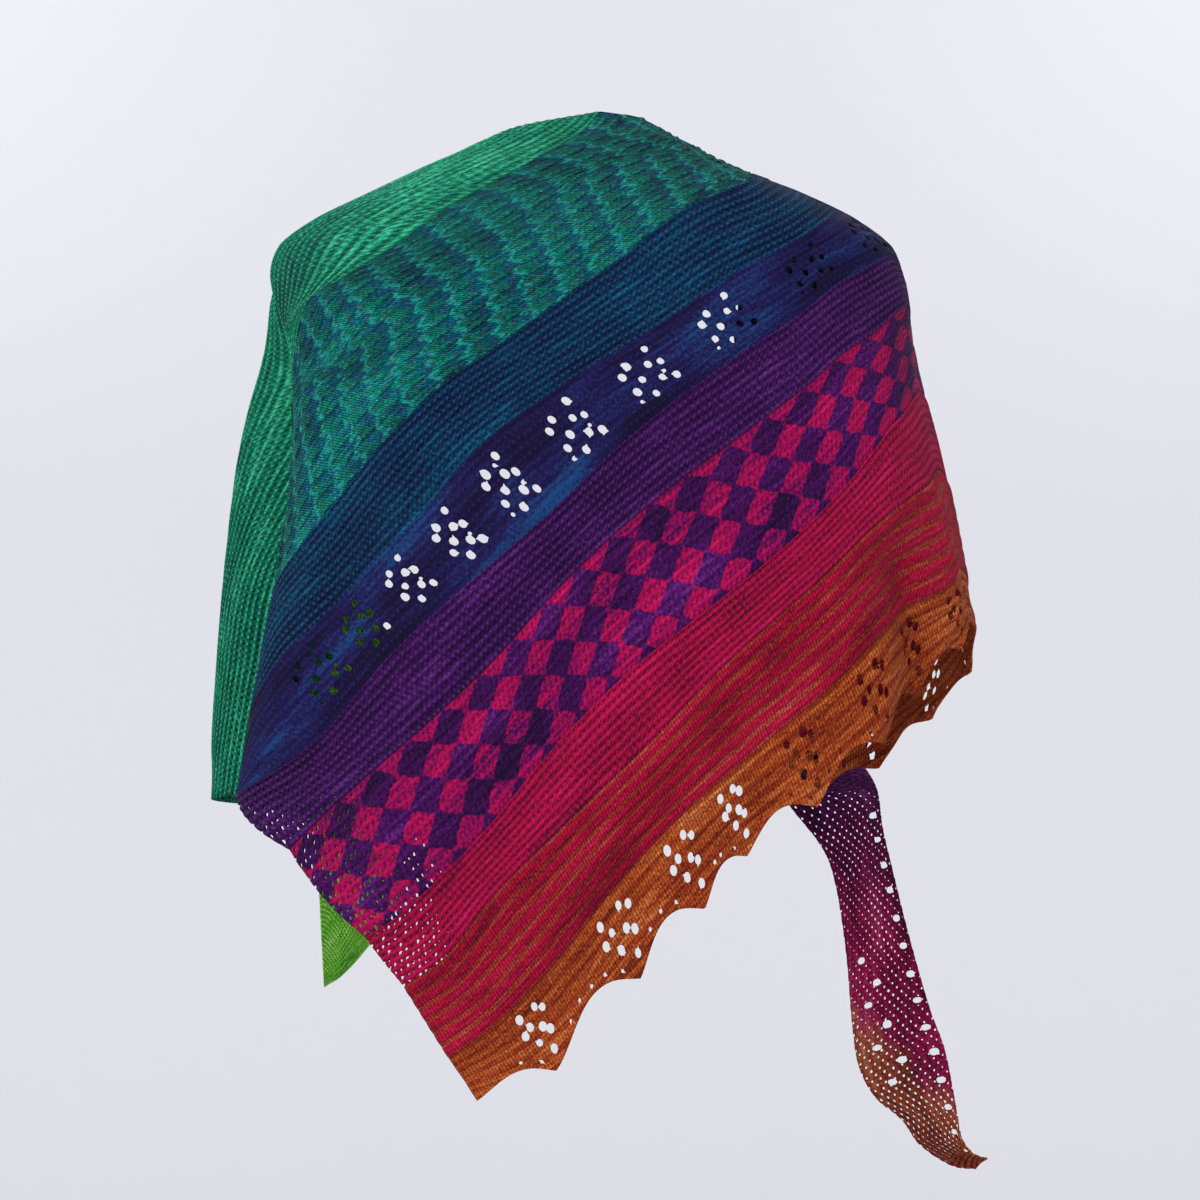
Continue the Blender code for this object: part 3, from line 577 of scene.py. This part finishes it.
LACE_STEP = (0.0015, 0.0015)
MARGIN = 0.006
NAVY_PITCH = 0.0090
NAVY_HEIGHT = 0.0004
SEED = 11
uneven = np.random.default_rng(SEED)


def motif(spots, u, v, squeeze, size, growth, fits):
    """The holes of one motif round a middle, each a little uneven, where they fit."""
    holes = []
    for du, dv in spots:
        at = (u + squeeze * du, v + dv)
        if fits(*at):
            grow = uneven.uniform(*growth)
            holes.append(at + (size[0] * grow, size[1] * grow))
    return holes


def flower_holes(surface):
    def fits(u, v):
        return MARGIN < u < surface.length - MARGIN and MARGIN < v < surface.width - MARGIN

    holes = []
    for place, beyond in zip(FLOWERS, FLOWERS[1:] + [FLOWERS[-1] + FLOWER_PITCH]):
        squeeze = min(1.0, (beyond - place) / FLOWER_PITCH)
        u, v = surface.back_length - place, 0.5 * surface.width
        holes += motif(FLOWER, u, v, squeeze, FLOWER_HOLE, (0.88, 1.08), fits)
        holes += [(u + squeeze * du, v + dv) + SMALL_HOLE for du, dv in SMALL_SPOTS]
    return holes


navy_holes = flower_holes(SURFACES["navy_lace"])
knitted("navy_lace", LACE_STEP, ridges(NAVY_PITCH, NAVY_HEIGHT), navy_holes)
print(len(navy_holes), "holes in the navy lace")

# %% [markdown]
# The border ends in scallops. Its grid is squeezed across so that its last row follows
# the hem, which is how a knitter shapes it too: the same stitches, pulled into points.
# A fan of larger holes sits above each scallop and small eyelets follow the hem.

# %% The scalloped border
TIPS_BACK = np.array([0.0, 0.056, 0.138, 0.200, 0.245, 0.302, 0.365, 0.414, 0.460, 0.495])
TIPS_FRONT = np.array([0.040, 0.090, 0.150, 0.205])
TIPS_END = 0.506
SCALLOP_DEPTH = 0.018
SCALLOP_FULL = 0.080
FAN = np.array([
    (-11.9, -12.7), (6.6, -12.5), (13.1, -8.5), (-6.5, -4.0), (4.2, 1.5), (9.2, 6.0),
    (-14.6, -1.0), (-6.4, 8.7), (3.1, 18.1),
]) / 1000.0
FAN_HOLE = (0.0027, 0.0033)
ROLL_HEIGHT = 0.0012
ROLL_WIDTH = 0.0030
RIPPLE = 0.0016
RIPPLE_RATE = 88.0
RIPPLE_LEAN = 9.0
LAST_TIP_GAP = 0.020
FAN_SHIFT = 0.004
FAN_ACROSS = 0.42
HEM_MARGIN = 0.005
EYELET = (0.0013, 0.0015)
EYELET_PITCH = 0.0062
EYELET_INSET = (0.0045, 0.0060)
EYELET_CLEAR = 0.0055
FIRST_EYELET = 0.008
border = SURFACES["orange_border"]
tips = np.concatenate([TIPS_BACK / TIPS_END * border.back_length, border.back_length + TIPS_FRONT])
tips = np.append(tips[tips < border.length - LAST_TIP_GAP], border.length)


def hem_line(u):
    """How far across the border its hem lies."""
    cell = np.clip(np.searchsorted(tips, u) - 1, 0, len(tips) - 2)
    span = tips[cell + 1] - tips[cell]
    phase = np.clip((u - tips[cell]) / span, 0.0, 1.0)
    depth = SCALLOP_DEPTH * np.minimum(1.0, span / SCALLOP_FULL)
    return border.width - depth * np.sin(np.pi * phase ** 1.2)


def border_holes():
    def fits(u, v):
        return MARGIN < u < border.length - MARGIN and v < hem_line(np.array([u]))[0] - HEM_MARGIN

    holes = []
    for low, high in zip(tips, tips[1:]):
        squeeze = min(1.0, (high - low) / SCALLOP_FULL)
        holes += motif(FAN, high + FAN_SHIFT, FAN_ACROSS * border.width, squeeze, FAN_HOLE,
                       (0.85, 1.10), fits)
    for u in np.arange(FIRST_EYELET, border.length - MARGIN, EYELET_PITCH):
        v = hem_line(np.array([u]))[0] - uneven.uniform(*EYELET_INSET)
        if all(math.hypot(u - hole[0], v - hole[1]) > EYELET_CLEAR for hole in holes):
            holes.append((u, v) + EYELET)
    return holes


fan_holes = border_holes()


def border_relief(u, v):
    """The hem rolls up a little and the lace ripples between its points."""
    to_hem = hem_line(u) - v
    rolled = ROLL_HEIGHT * np.exp(-(to_hem / ROLL_WIDTH) ** 2)
    ripple = np.sin(u * RIPPLE_RATE + RIPPLE_LEAN * v / border.width)
    return rolled + RIPPLE * ripple * v / border.width


knitted("orange_border", LACE_STEP, border_relief, fan_holes, hem_line)
print(len(fan_holes), "holes in the border")

# %% [markdown]
# The lapel and the tail are the same knitting seen from its other edge. Their rows run
# across the sheet, so their ridges do too. The tail has eyelets along one edge and a
# few larger gaps where it narrows.

# %% The lapel and tail sheets
LAPEL_STEP = (0.0030, 0.0018)
TAIL_STEP = (0.0014, 0.0014)
TAIL_EYELETS = 14
TAIL_GAPS = [(0.50, 0.22), (0.55, 0.40), (0.59, 0.24), (0.64, 0.44), (0.68, 0.26), (0.72, 0.50),
             (0.76, 0.30)]
TAIL_HOLE = (0.0026, 0.0026)
TAIL_SPOTS = [(0.22 + 0.72 * i / (TAIL_EYELETS - 1), 0.88) for i in range(TAIL_EYELETS)] + TAIL_GAPS
tail_holes = [(tail.length * down, tail.width * across) + TAIL_HOLE for down, across in TAIL_SPOTS]


def hanging_relief(u, v):
    return GARTER_HEIGHT * np.cos(TURN * (v - 0.5 * u) / GARTER)


knitted("front_lapel", LAPEL_STEP, hanging_relief)
knitted("front_tail", TAIL_STEP, hanging_relief, tail_holes)
print("pieces:", len(PIECES))

# %% [markdown]
# Colour next. Every material here is built from nodes, and parts that several materials
# share are node groups, which work like functions. This small helper adds a node and
# joins it in one line, so a formula on paper reads almost the same in the script.

# %% A helper for node formulas
class Wires:
    """Adds nodes to one tree. Plain values go on a node's own socket, others are linked."""

    def __init__(self, tree):
        self.tree = tree

    def put(self, socket, value):
        if isinstance(value, bpy.types.NodeSocket):
            self.tree.links.new(value, socket)
        else:
            socket.default_value = value

    def fill(self, node, inputs):
        for title, value in inputs.items():
            self.put(node.inputs[title.replace("_", " ")], value)
        return node

    def node(self, kind, **inputs):
        return self.fill(self.tree.nodes.new("ShaderNode" + kind), inputs)

    def group(self, tree, **inputs):
        node = self.node("Group")
        node.node_tree = tree
        return self.fill(node, inputs).outputs

    def math(self, operation, *values):
        node = self.node("Math")
        node.operation = operation
        for socket, value in zip(node.inputs, values):
            self.put(socket, value)
        return node.outputs[0]

    def add(self, a, b):
        return self.math("ADD", a, b)

    def times(self, a, b):
        return self.math("MULTIPLY", a, b)

    def times_add(self, a, by, plus):
        return self.math("MULTIPLY_ADD", a, by, plus)

    def over(self, a, b):
        return self.math("DIVIDE", a, b)

    def from_one(self, a):
        return self.math("SUBTRACT", 1.0, a)

    def wave(self, steps):
        """A cosine that repeats at every whole step."""
        return self.math("COSINE", self.times(steps, TURN))

    def hills(self, steps):
        """The same wave from 0 to 1."""
        return self.times_add(self.wave(steps), 0.5, 0.5)

    def noise(self, vector, scale, detail=2.0):
        return self.node("TexNoise", Vector=vector, Scale=scale, Detail=detail).outputs[0]

    def drift(self, vector, scale, detail=2.0):
        """Noise about zero."""
        return self.math("SUBTRACT", self.noise(vector, scale, detail), 0.5)

    def mix(self, factor, a, b):
        node = self.node("Mix")
        node.data_type = "RGBA"
        colours = [socket for socket in node.inputs if socket.type == "RGBA"]
        for socket, value in zip([node.inputs[0]] + colours, (factor, a, b)):
            self.put(socket, value)
        return next(socket for socket in node.outputs if socket.type == "RGBA")

    def stretch(self, vector, along, across):
        node = self.node("VectorMath")
        node.operation = "MULTIPLY"
        self.put(node.inputs[0], vector)
        self.put(node.inputs[1], (along, across, 1.0))
        return node.outputs[0]

    def split(self, vector):
        parts = self.node("SeparateXYZ", Vector=vector).outputs
        return parts[0], parts[1]

    def ramp(self, value, low, high):
        node = self.node("MapRange", Value=value, From_Min=low, From_Max=high)
        node.interpolation_type = "SMOOTHSTEP"
        return node.outputs[0]


def new_group(name, inputs, outputs):
    """An empty node group. Each input and output is a name and a socket type."""
    tree = bpy.data.node_groups.new(name, "ShaderNodeTree")
    for way, sockets in (("INPUT", inputs), ("OUTPUT", outputs)):
        for title, kind in sockets.items():
            tree.interface.new_socket(title, in_out=way, socket_type="NodeSocket" + kind)
    return (tree, Wires(tree), tree.nodes.new("NodeGroupInput").outputs,
            tree.nodes.new("NodeGroupOutput").inputs)


print("ready to build node groups")

# %% [markdown]
# Up close, garter knitting is rows of small purl bumps that lock together like teeth,
# with a dark valley between ridges. A photo texture could show that, but it would repeat.
# Two cosines make the same pattern at any size: one across the rows for the ridge, and
# one along them for the bumps, which shifts by half a stitch from row to row.

# %% Garter stitches
FUZZ = 750.0
garter_group, w, given, give = new_group(
    "Garter stitches", dict(Cloth="Vector", Pitch="Float", Stitch="Float"),
    dict(Height="Float", Ridge="Float", Gap="Float"))
wander = w.drift(given["Cloth"], 45.0)
u, v = w.split(given["Cloth"])
row = w.over(w.times_add(wander, 0.0022, v), given["Pitch"])
ridge = w.hills(row)
odd = w.times(w.math("ROUND", w.times(row, 2.0)), 0.5)
stitch = w.over(w.times_add(wander, 0.0030, u), given["Stitch"])
bump = w.hills(w.add(stitch, w.times_add(row, 0.7, odd)))
teeth = w.times(w.hills(w.times(row, 2.0)), bump)
height = w.times_add(teeth, 0.42, w.times(ridge, w.times_add(bump, 0.32, 0.68)))
w.put(give["Height"], w.times_add(w.drift(given["Cloth"], FUZZ), 0.70, height))
w.put(give["Ridge"], w.times(ridge, w.times_add(bump, 0.6, 0.4)))
w.put(give["Gap"], w.times(w.from_one(ridge), w.from_one(bump)))
print("group:", garter_group.name)

# %% [markdown]
# Smooth knitting shows small V shapes in columns. Each leg of a V leans one way, so the
# pattern is a slanted wave, mirrored at the middle of the stitch.

# %% Smooth stitches
smooth_group, w, given, give = new_group(
    "Smooth stitches", dict(Cloth="Vector", Stitch="Float", Row="Float"),
    dict(Height="Float", Gap="Float"))
wander = w.drift(given["Cloth"], 60.0)
u, v = w.split(given["Cloth"])
across = w.math("PINGPONG", w.over(w.times_add(wander, 0.0018, u), given["Stitch"]), 0.5)
rise = w.over(w.times_add(wander, 0.0018, v), given["Row"])
strand = w.times_add(w.wave(w.times_add(across, 1.5, rise)), 0.30, 0.70)
gutter = w.math("SINE", w.times(across, TURN))
w.put(give["Height"], w.times_add(w.drift(given["Cloth"], FUZZ), 0.60, w.times(strand, gutter)))
w.put(give["Gap"], w.times(w.from_one(strand), w.from_one(gutter)))
print("group:", smooth_group.name)

# %% [markdown]
# Hand-dyed yarn is never one colour: the dye runs change every few stitches, so a row
# can be lighter than the next and then darker again. Noise that is stretched along the
# rows gives those runs, a broader noise lets whole patches drift, and a very fine noise
# stands for single fibres.

# %% Hand-dyed yarn
dyed_group, w, given, give = new_group(
    "Hand-dyed yarn", dict(Cloth="Vector", Dark="Color", Main="Color", Light="Color", Patchy="Float"),
    dict(Color="Color"))
runs = w.drift(w.stretch(given["Cloth"], 38.0, 400.0), 1.0)
patches = w.drift(w.stretch(given["Cloth"], 7.0, 30.0), 1.0)
flecks = w.drift(given["Cloth"], 420.0)
fibres = w.drift(given["Cloth"], 1500.0, 1.0)
tone = w.times_add(patches, given["Patchy"], 0.5)
for part, weight in ((runs, 0.45), (flecks, 0.55), (fibres, 0.35)):
    tone = w.times_add(part, weight, tone)
darker = w.mix(w.ramp(tone, 0.54, 0.32), given["Main"], given["Dark"])
w.put(give["Color"], w.mix(w.ramp(tone, 0.52, 0.76), darker, given["Light"]))
print("group:", dyed_group.name)

# %% [markdown]
# One function makes each yarn material: the colour goes to a Principled shader with a
# little sheen, because wool has a fine halo of fibres, and the stitches' height goes to
# a Bump node. Where stitches are pulled apart, light shows between them, so the deepest
# gaps are cut with alpha.

# %% Yarn materials
WOOL = {"Roughness": 0.75, "Specular IOR Level": 0.12, "Sheen Weight": 0.04,
        "Sheen Roughness": 0.45, "Sheen Tint": (1.0, 0.95, 0.95, 1.0)}
BUMP_DISTANCE = 0.0014
# A shadow in the yarn is its dark tone times this.
SHADOW = 0.4


def dye(*tones):
    """A yarn's dark, main and light tone, each as it looks on screen, made linear."""
    return [tuple(((c / 255.0 + 0.055) / 1.055) ** 2.4 for c in tone) + (1.0,) for tone in tones]


def start_yarn(name):
    """A new material: its wires, its cloth coordinates in metres and its shader."""
    material = bpy.data.materials.new(name)
    material.use_nodes = True
    wires = Wires(material.node_tree)
    cloth = wires.node("UVMap")
    cloth.uv_map = "cloth"
    return material, wires, cloth.outputs[0], material.node_tree.nodes["Principled BSDF"]


def dyed(wires, cloth, tones, patchy):
    """The colour of a hand-dyed yarn all over the cloth."""
    dark, main, light = tones
    return wires.group(dyed_group, Cloth=cloth, Dark=dark, Main=main, Light=light, Patchy=patchy)[0]


def darkened(wires, colour, where, share, dark):
    """Mixes in a shadow of the yarn's dark tone, by a share, where the mask is 1."""
    shadow = tuple(c * SHADOW for c in dark[:3]) + (1.0,)
    return wires.mix(wires.times(where, share), colour, shadow)


def finish_yarn(wires, shader, colour, height, gap=None, strength=1.0):
    """Joins colour, height and, for open knitting, its gaps."""
    for title, value in WOOL.items():
        shader.inputs[title].default_value = value
    bump = wires.node("Bump", Strength=strength, Distance=BUMP_DISTANCE, Height=height)
    wires.put(shader.inputs["Base Color"], colour)
    wires.put(shader.inputs["Normal"], bump.outputs[0])
    if gap is not None:
        wires.put(shader.inputs["Alpha"], wires.from_one(gap))


def open_gaps(wires, cloth, gap, open_to):
    """Gaps between stitches show light where the cloth is pulled, near its side edge."""
    u, v = wires.split(cloth)
    pulled = wires.times_add(wires.noise(cloth, 28.0), -0.55 * open_to, u)
    pulled = wires.ramp(pulled, 0.65 * open_to, -0.20 * open_to)
    unlike = wires.ramp(wires.noise(cloth, 210.0), 0.30, 0.62)
    return wires.ramp(wires.times(wires.times(gap, pulled), unlike), 0.42, 0.50)


def garter_yarn(name, tones, patchy=0.5, depth=1.0, open_to=0.0):
    """Garter knitting: painted shade in the valleys and a painted highlight on the ridge tops, open
    near the side edge.
    """
    material, wires, cloth, shader = start_yarn(name)
    knit = wires.group(garter_group, Cloth=cloth, Pitch=GARTER, Stitch=STITCH)
    tones = dye(*tones)
    # Painted shade: the valleys between ridges are darkened with the yarn's dark tone.
    valley = wires.ramp(knit["Height"], 0.50, 0.02)
    colour = darkened(wires, dyed(wires, cloth, tones, patchy), valley, 0.80 * depth, tones[0])
    # Painted highlight: the ridge tops are lightened with the yarn's light tone.
    ridge_highlight = wires.times(wires.ramp(knit["Ridge"], 0.55, 1.0), 0.50 * depth)
    colour = wires.mix(ridge_highlight, colour, tones[2])
    gap = open_gaps(wires, cloth, knit["Gap"], open_to) if open_to else None
    finish_yarn(wires, shader, colour, knit["Height"], gap, strength=depth)
    return material


# Tones are dark, main and light. The dark tone also gives the painted shade in the valleys
# and the light tone the painted highlight on the ridge tops. Patchy is how far the dye
# drifts, depth how deep the ridges look through their bump and their painted shade and
# highlight, and open_to how far the open side edge reaches, in metres.
GARTERS = {
    # The tip's tones are lighter than its yarn, as painted light, because the tip lies in the shawl's
    # shadow.
    "light_green_tip": dict(tones=((70, 170, 40), (150, 236, 80), (214, 255, 150)), patchy=0.9),
    "light_green_front": dict(tones=((10, 95, 35), (40, 160, 60), (110, 215, 110))),
    "green_garter": dict(tones=((0, 70, 66), (0, 132, 98), (84, 230, 178)), open_to=0.30),
    "blue_garter": dict(tones=((8, 10, 52), (4, 48, 92), (10, 112, 142))),
    "navy_lace": dict(tones=((18, 4, 46), (30, 20, 82), (22, 70, 126)), patchy=1.3, depth=0.45),
    "purple_garter": dict(tones=((28, 2, 50), (64, 10, 90), (118, 52, 146)), open_to=0.13),
    "magenta_garter": dict(tones=((100, 0, 44), (188, 0, 72), (232, 30, 108)), open_to=0.10),
}
YARNS = {node: garter_yarn(node, **look) for node, look in GARTERS.items()}
print(len(YARNS), "garter yarns")

# %% [markdown]
# The teal band is worked with slipped stitches: short blocks of one row's yarn are lifted
# over the next, so blue-teal and green blocks alternate like shallow bricks. The blocks
# come from two square waves, and the lifted strands are raised cords that climb from row
# to row, with a painted highlight along them. Painted shade darkens the gaps between the
# stitches, and a painted shadow lies just past the crest of each raised block.

# %% Slipped blocks
BLUE_TEAL = dye((0, 52, 74), (0, 112, 142), (44, 210, 192))
GREEN_TEAL = dye((0, 52, 74), (0, 142, 120), (44, 210, 192))


def slipped_yarn(name):
    material, wires, cloth, shader = start_yarn(name)
    wander = wires.drift(cloth, 90.0)
    u, v = wires.split(cloth)
    row = wires.over(wires.times_add(wander, 0.0044, v), BLOCK_HIGH)
    along = wires.over(wires.times_add(wander, 0.0080, u), BLOCK_LONG)
    wave = wires.wave(wires.times_add(wires.math("FLOOR", row), 0.5, along))
    smooth = wires.group(smooth_group, Cloth=cloth, Stitch=0.0040, Row=0.0030)
    colour = wires.mix(wires.ramp(wave, -0.70, 0.70), dyed(wires, cloth, BLUE_TEAL, 0.5),
                       dyed(wires, cloth, GREEN_TEAL, 0.5))
    # Painted shade: the gaps between the smooth stitches are darkened with the dark tone.
    valley = wires.ramp(smooth["Height"], 0.60, 0.05)
    colour = darkened(wires, colour, valley, 0.75, BLUE_TEAL[0])
    # Painted highlight: the lifted cords, which also rise in the bump, are lightened with the light
    # tone.
    wiggle = wires.times(wires.math("SINE", wires.times(row, TURN)), 0.10)
    cord = wires.add(wires.times_add(row, 0.5, wiggle), along)
    broken = wires.ramp(wires.noise(cloth, 300.0), 0.38, 0.60)
    crest = wires.times(wires.ramp(wires.wave(cord), 0.60, 0.98), broken)
    colour = wires.mix(wires.times(crest, 0.60), colour, BLUE_TEAL[2])
    # Painted shadow: the rows just past a raised block's crest are darkened.
    crest_shadow = wires.times(wires.ramp(wires.math("FRACT", row), 0.16, 0.0), wires.ramp(wave, 0.1, -0.5))
    colour = darkened(wires, colour, crest_shadow, 0.7, BLUE_TEAL[0])
    finish_yarn(wires, shader, colour, wires.times_add(crest, 0.5, smooth["Height"]))
    return material


for node in ("teal_slip_upper", "teal_slip_lower"):
    YARNS[node] = slipped_yarn(node)
print("slipped yarns done")

# %% [markdown]
# The checked band trades two yarns in diamonds. Adding one wave along the rows to one
# across them gives exactly that: the sum is positive in every other diamond.

# %% Diamonds of two yarns
VIOLET_YARN = dye((34, 0, 50), (74, 4, 92), (122, 38, 140))
MAGENTA_YARN = dye((74, 4, 92), (184, 0, 84), (228, 30, 116))
CHECK_PITCH = 0.0054


def diamond_yarn(name):
    material, wires, cloth, shader = start_yarn(name)
    u, v = wires.split(cloth)
    along = wires.wave(wires.over(wires.times_add(v, DIAMOND_LEAN, u), DIAMOND_LONG))
    across = wires.wave(wires.over(v, DIAMOND_HIGH))
    total = wires.times_add(wires.drift(cloth, 160.0), 0.9, wires.add(along, across))
    mask = wires.ramp(total, -0.06, 0.20)
    knit = wires.group(garter_group, Cloth=cloth, Pitch=CHECK_PITCH, Stitch=STITCH)
    colour = wires.mix(mask, dyed(wires, cloth, VIOLET_YARN, 0.8),
                       dyed(wires, cloth, MAGENTA_YARN, 0.6))
    # Painted shade: the valleys between the stitches are darkened.
    colour = darkened(wires, colour, wires.ramp(knit["Height"], 0.40, 0.02), 0.6, VIOLET_YARN[0])
    height = wires.times_add(wires.from_one(mask), 0.35, knit["Height"])
    finish_yarn(wires, shader, colour, height, open_gaps(wires, cloth, knit["Gap"], 0.14))
    return material


YARNS["check_band"] = diamond_yarn("check_band")
print("diamonds done")

# %% [markdown]
# The raised stripes and the border mix two yarns, row by row. Smooth stitches cover the
# stripes. The same two-colour material, with more gaps, serves the lace border.

# %% Copper yarns
CRIMSON = dye((124, 0, 40), (202, 2, 60), (238, 52, 88))
COPPER = dye((124, 18, 28), (188, 62, 50), (232, 124, 88))
ORANGE = dye((140, 48, 20), (216, 98, 38), (250, 176, 104))
BROWN = dye((112, 34, 16), (186, 66, 26), (238, 140, 76))
STRIPE = SURFACES["copper_stripes"].width / STRIPES
BORDER_STRIPE = 0.0085


def mingled_yarn(name, one, other, stripe, share, wobble, openness=0.0):
    """Two yarns in stripes across the rows, under smooth stitches."""
    material, wires, cloth, shader = start_yarn(name)
    u, v = wires.split(cloth)
    wander = wires.drift(wires.stretch(cloth, 12.0, 60.0), 1.0)
    wave = wires.wave(wires.over(wires.times_add(wander, wobble, v), stripe))
    first, second = [dyed(wires, cloth, tones, 0.6) for tones in (one, other)]
    colour = wires.mix(wires.ramp(wave, share - 0.25, share + 0.25), first, second)
    smooth = wires.group(smooth_group, Cloth=cloth, Stitch=STITCH, Row=ROW)
    # Painted shade: the gaps between the smooth stitches are darkened.
    colour = darkened(wires, colour, wires.ramp(smooth["Height"], 0.50, 0.0), 0.60, one[0])
    gap = None
    if openness:
        loose = wires.times_add(wires.noise(cloth, 140.0), openness, smooth["Gap"])
        gap = wires.ramp(loose, 1.16, 1.24)
    finish_yarn(wires, shader, colour, smooth["Height"], gap)
    return material


YARNS["copper_stripes"] = mingled_yarn("copper_stripes", CRIMSON, COPPER, STRIPE, 0.30, 0.0020)
YARNS["orange_border"] = mingled_yarn("orange_border", ORANGE, BROWN, BORDER_STRIPE, 0.2, 0.0060, 0.70)
print("copper yarns done")

# %% [markdown]
# The lapel and tail cross all the dye colours: deep violet above, magenta below, and
# copper past a slanted line near the point. Their colour is mixed by height and side,
# read from the object's own coordinates.

# %% The lapel and tail yarns
FRONT_VIOLET = dye((38, 10, 58), (78, 18, 84), (130, 60, 130))
FRONT_MAGENTA = dye((96, 4, 54), (176, 18, 80), (224, 70, 124))
FRONT_COPPER = dye((120, 44, 30), (180, 78, 48), (225, 140, 95))
FRONT_SHADOW = dye((28, 6, 34))[0]
TAIL_MIDDLE = 0.22


def hanging_yarn(name, openness=0.0):
    material, wires, cloth, shader = start_yarn(name)
    place = wires.node("SeparateXYZ", Vector=wires.node("TexCoord").outputs["Object"]).outputs
    level = wires.times_add(wires.drift(wires.stretch(cloth, 30.0, 120.0), 1.0), 0.05, place[2])
    violet, magenta, copper = [dyed(wires, cloth, tones, 0.9)
                               for tones in (FRONT_VIOLET, FRONT_MAGENTA, FRONT_COPPER)]
    colour = wires.mix(wires.ramp(level, -0.44, -0.60), violet, magenta)
    slanted = wires.times_add(wires.math("SUBTRACT", place[0], TAIL_MIDDLE), 0.85, level)
    coppery = wires.ramp(slanted, -0.635, -0.665)
    colour = wires.mix(coppery, colour, copper)
    u, v = wires.split(cloth)
    turned = wires.node("CombineXYZ", X=wires.times_add(v, 0.5, u), Y=wires.times_add(u, -0.5, v))
    knit = wires.group(garter_group, Cloth=turned.outputs[0], Pitch=GARTER, Stitch=STITCH)
    valley = wires.times(wires.ramp(knit["Height"], 0.42, 0.02), 0.6)
    colour = wires.mix(valley, colour, FRONT_SHADOW)
    gap = None
    if openness:
        loose = wires.times_add(coppery, 0.25, wires.noise(cloth, 60.0))
        gap = wires.ramp(wires.times_add(loose, openness, knit["Gap"]), 1.10, 1.18)
    finish_yarn(wires, shader, colour, knit["Height"], gap)
    return material


YARNS["front_lapel"] = hanging_yarn("front_lapel")
YARNS["front_tail"] = hanging_yarn("front_tail", openness=0.66)
for node, piece in PIECES.items():
    piece.data.materials.append(YARNS[node])
print("materials on", len(PIECES), "pieces")

# %% [markdown]
# The whole shawl is one triangle, knitted in one go, so each declared sheet is only the
# stretch of it between two row courses.

for node, piece in PIECES.items():
    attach(piece, "root")
    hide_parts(node)

# %% [markdown]
# The stage is a plain pale sweep: a floor that curves up into a wall, so no line shows
# where they meet. A single strip of faces, bent along a quarter circle, is enough.

# %% Floor and backdrop
FLOOR_Z = -1.30
WALL_Y = 4.5
SWEEP_RADIUS = 1.2
SWEEP_HALF = 5.0
SWEEP_STEPS = 16
WALL_TOP = 3.0
profile = [(-SWEEP_HALF, FLOOR_Z)]
for angle in np.linspace(0.0, math.pi / 2.0, SWEEP_STEPS + 1):
    profile.append((WALL_Y - SWEEP_RADIUS + SWEEP_RADIUS * math.sin(angle),
                    FLOOR_Z + SWEEP_RADIUS * (1.0 - math.cos(angle))))
profile.append((WALL_Y, WALL_TOP))
sweep_mesh = bmesh.new()
rows = [[sweep_mesh.verts.new((x, y, z)) for y, z in profile] for x in (-SWEEP_HALF, SWEEP_HALF)]
for i in range(len(profile) - 1):
    face = sweep_mesh.faces.new([rows[0][i], rows[1][i], rows[1][i + 1], rows[0][i + 1]])
    face.smooth = True
sweep_data = bpy.data.meshes.new("sweep")
sweep_mesh.to_mesh(sweep_data)
sweep_mesh.free()
sweep = bpy.data.objects.new("sweep", sweep_data)
bpy.context.scene.collection.objects.link(sweep)
paper = bpy.data.materials.new("pale paper")
paper.use_nodes = True
paper_shader = paper.node_tree.nodes["Principled BSDF"]
paper_shader.inputs["Base Color"].default_value = (0.80, 0.80, 0.84, 1.0)
paper_shader.inputs["Roughness"].default_value = 0.95
sweep_data.materials.append(paper)
print("sweep:", len(sweep_data.polygons), "faces")

# %% [markdown]
# Soft light comes from large area lights, since a large lamp makes soft shadows. The key
# stands high at the left behind the camera, a weaker fill balances it from the right, and
# two lamps brighten the wall, so that the holes in the lace glow.

# %% Lights
def area_light(name, place, aim, size, power, tint=(1.0, 1.0, 1.0)):
    lamp = bpy.data.lights.new(name, "AREA")
    lamp.shape = "SQUARE"
    lamp.size = size
    lamp.energy = power
    lamp.color = tint
    holder = bpy.data.objects.new(name, lamp)
    bpy.context.scene.collection.objects.link(holder)
    holder.location = place
    holder.rotation_euler = (Vector(aim) - Vector(place)).to_track_quat("-Z", "Y").to_euler()


MIDDLE = (0.0, 0.05, -0.35)
COOL = (0.95, 0.97, 1.0)
LAMPS = {
    "key": dict(place=(-1.5, -2.0, 1.1), aim=MIDDLE, size=0.9, power=46.0),
    "fill": dict(place=(1.9, -1.7, 0.3), aim=MIDDLE, size=1.6, power=12.0, tint=COOL),
    "wall left": dict(place=(-2.1, 2.6, 1.6), aim=(-0.7, WALL_Y, -0.2), size=1.8, power=33.0),
    "wall right": dict(place=(2.1, 2.6, 1.6), aim=(0.7, WALL_Y, -0.2), size=1.8, power=33.0),
}
for name, lamp in LAMPS.items():
    area_light(name, **lamp)
world = bpy.data.worlds.new("studio")
bpy.context.scene.world = world
world.use_nodes = True
sky = world.node_tree.nodes["Background"]
sky.inputs["Color"].default_value = COOL + (1.0,)
sky.inputs["Strength"].default_value = 0.40
print("lights:", len(LAMPS))

# %% [markdown]
# A long lens from some way off draws the shawl without bending its edges. The camera
# stands straight behind the wearer, two metres off and about level with the middle of
# the shawl.

# %% Camera
LENS_LENGTH = 89.6
FILM_WIDTH = 36.0
lens = bpy.data.cameras.new("camera")
lens.lens = LENS_LENGTH
lens.sensor_width = FILM_WIDTH
camera = bpy.data.objects.new("camera", lens)
bpy.context.scene.collection.objects.link(camera)
camera.location = (VIEW_X, -VIEW_DISTANCE, VIEW_Z)
camera.rotation_euler = (math.pi / 2.0, 0.0, 0.0)
bpy.context.scene.camera = camera
bpy.context.scene.view_settings.view_transform = "Standard"
bpy.context.scene.view_settings.look = "None"
print("camera lens:", lens.lens, "mm")
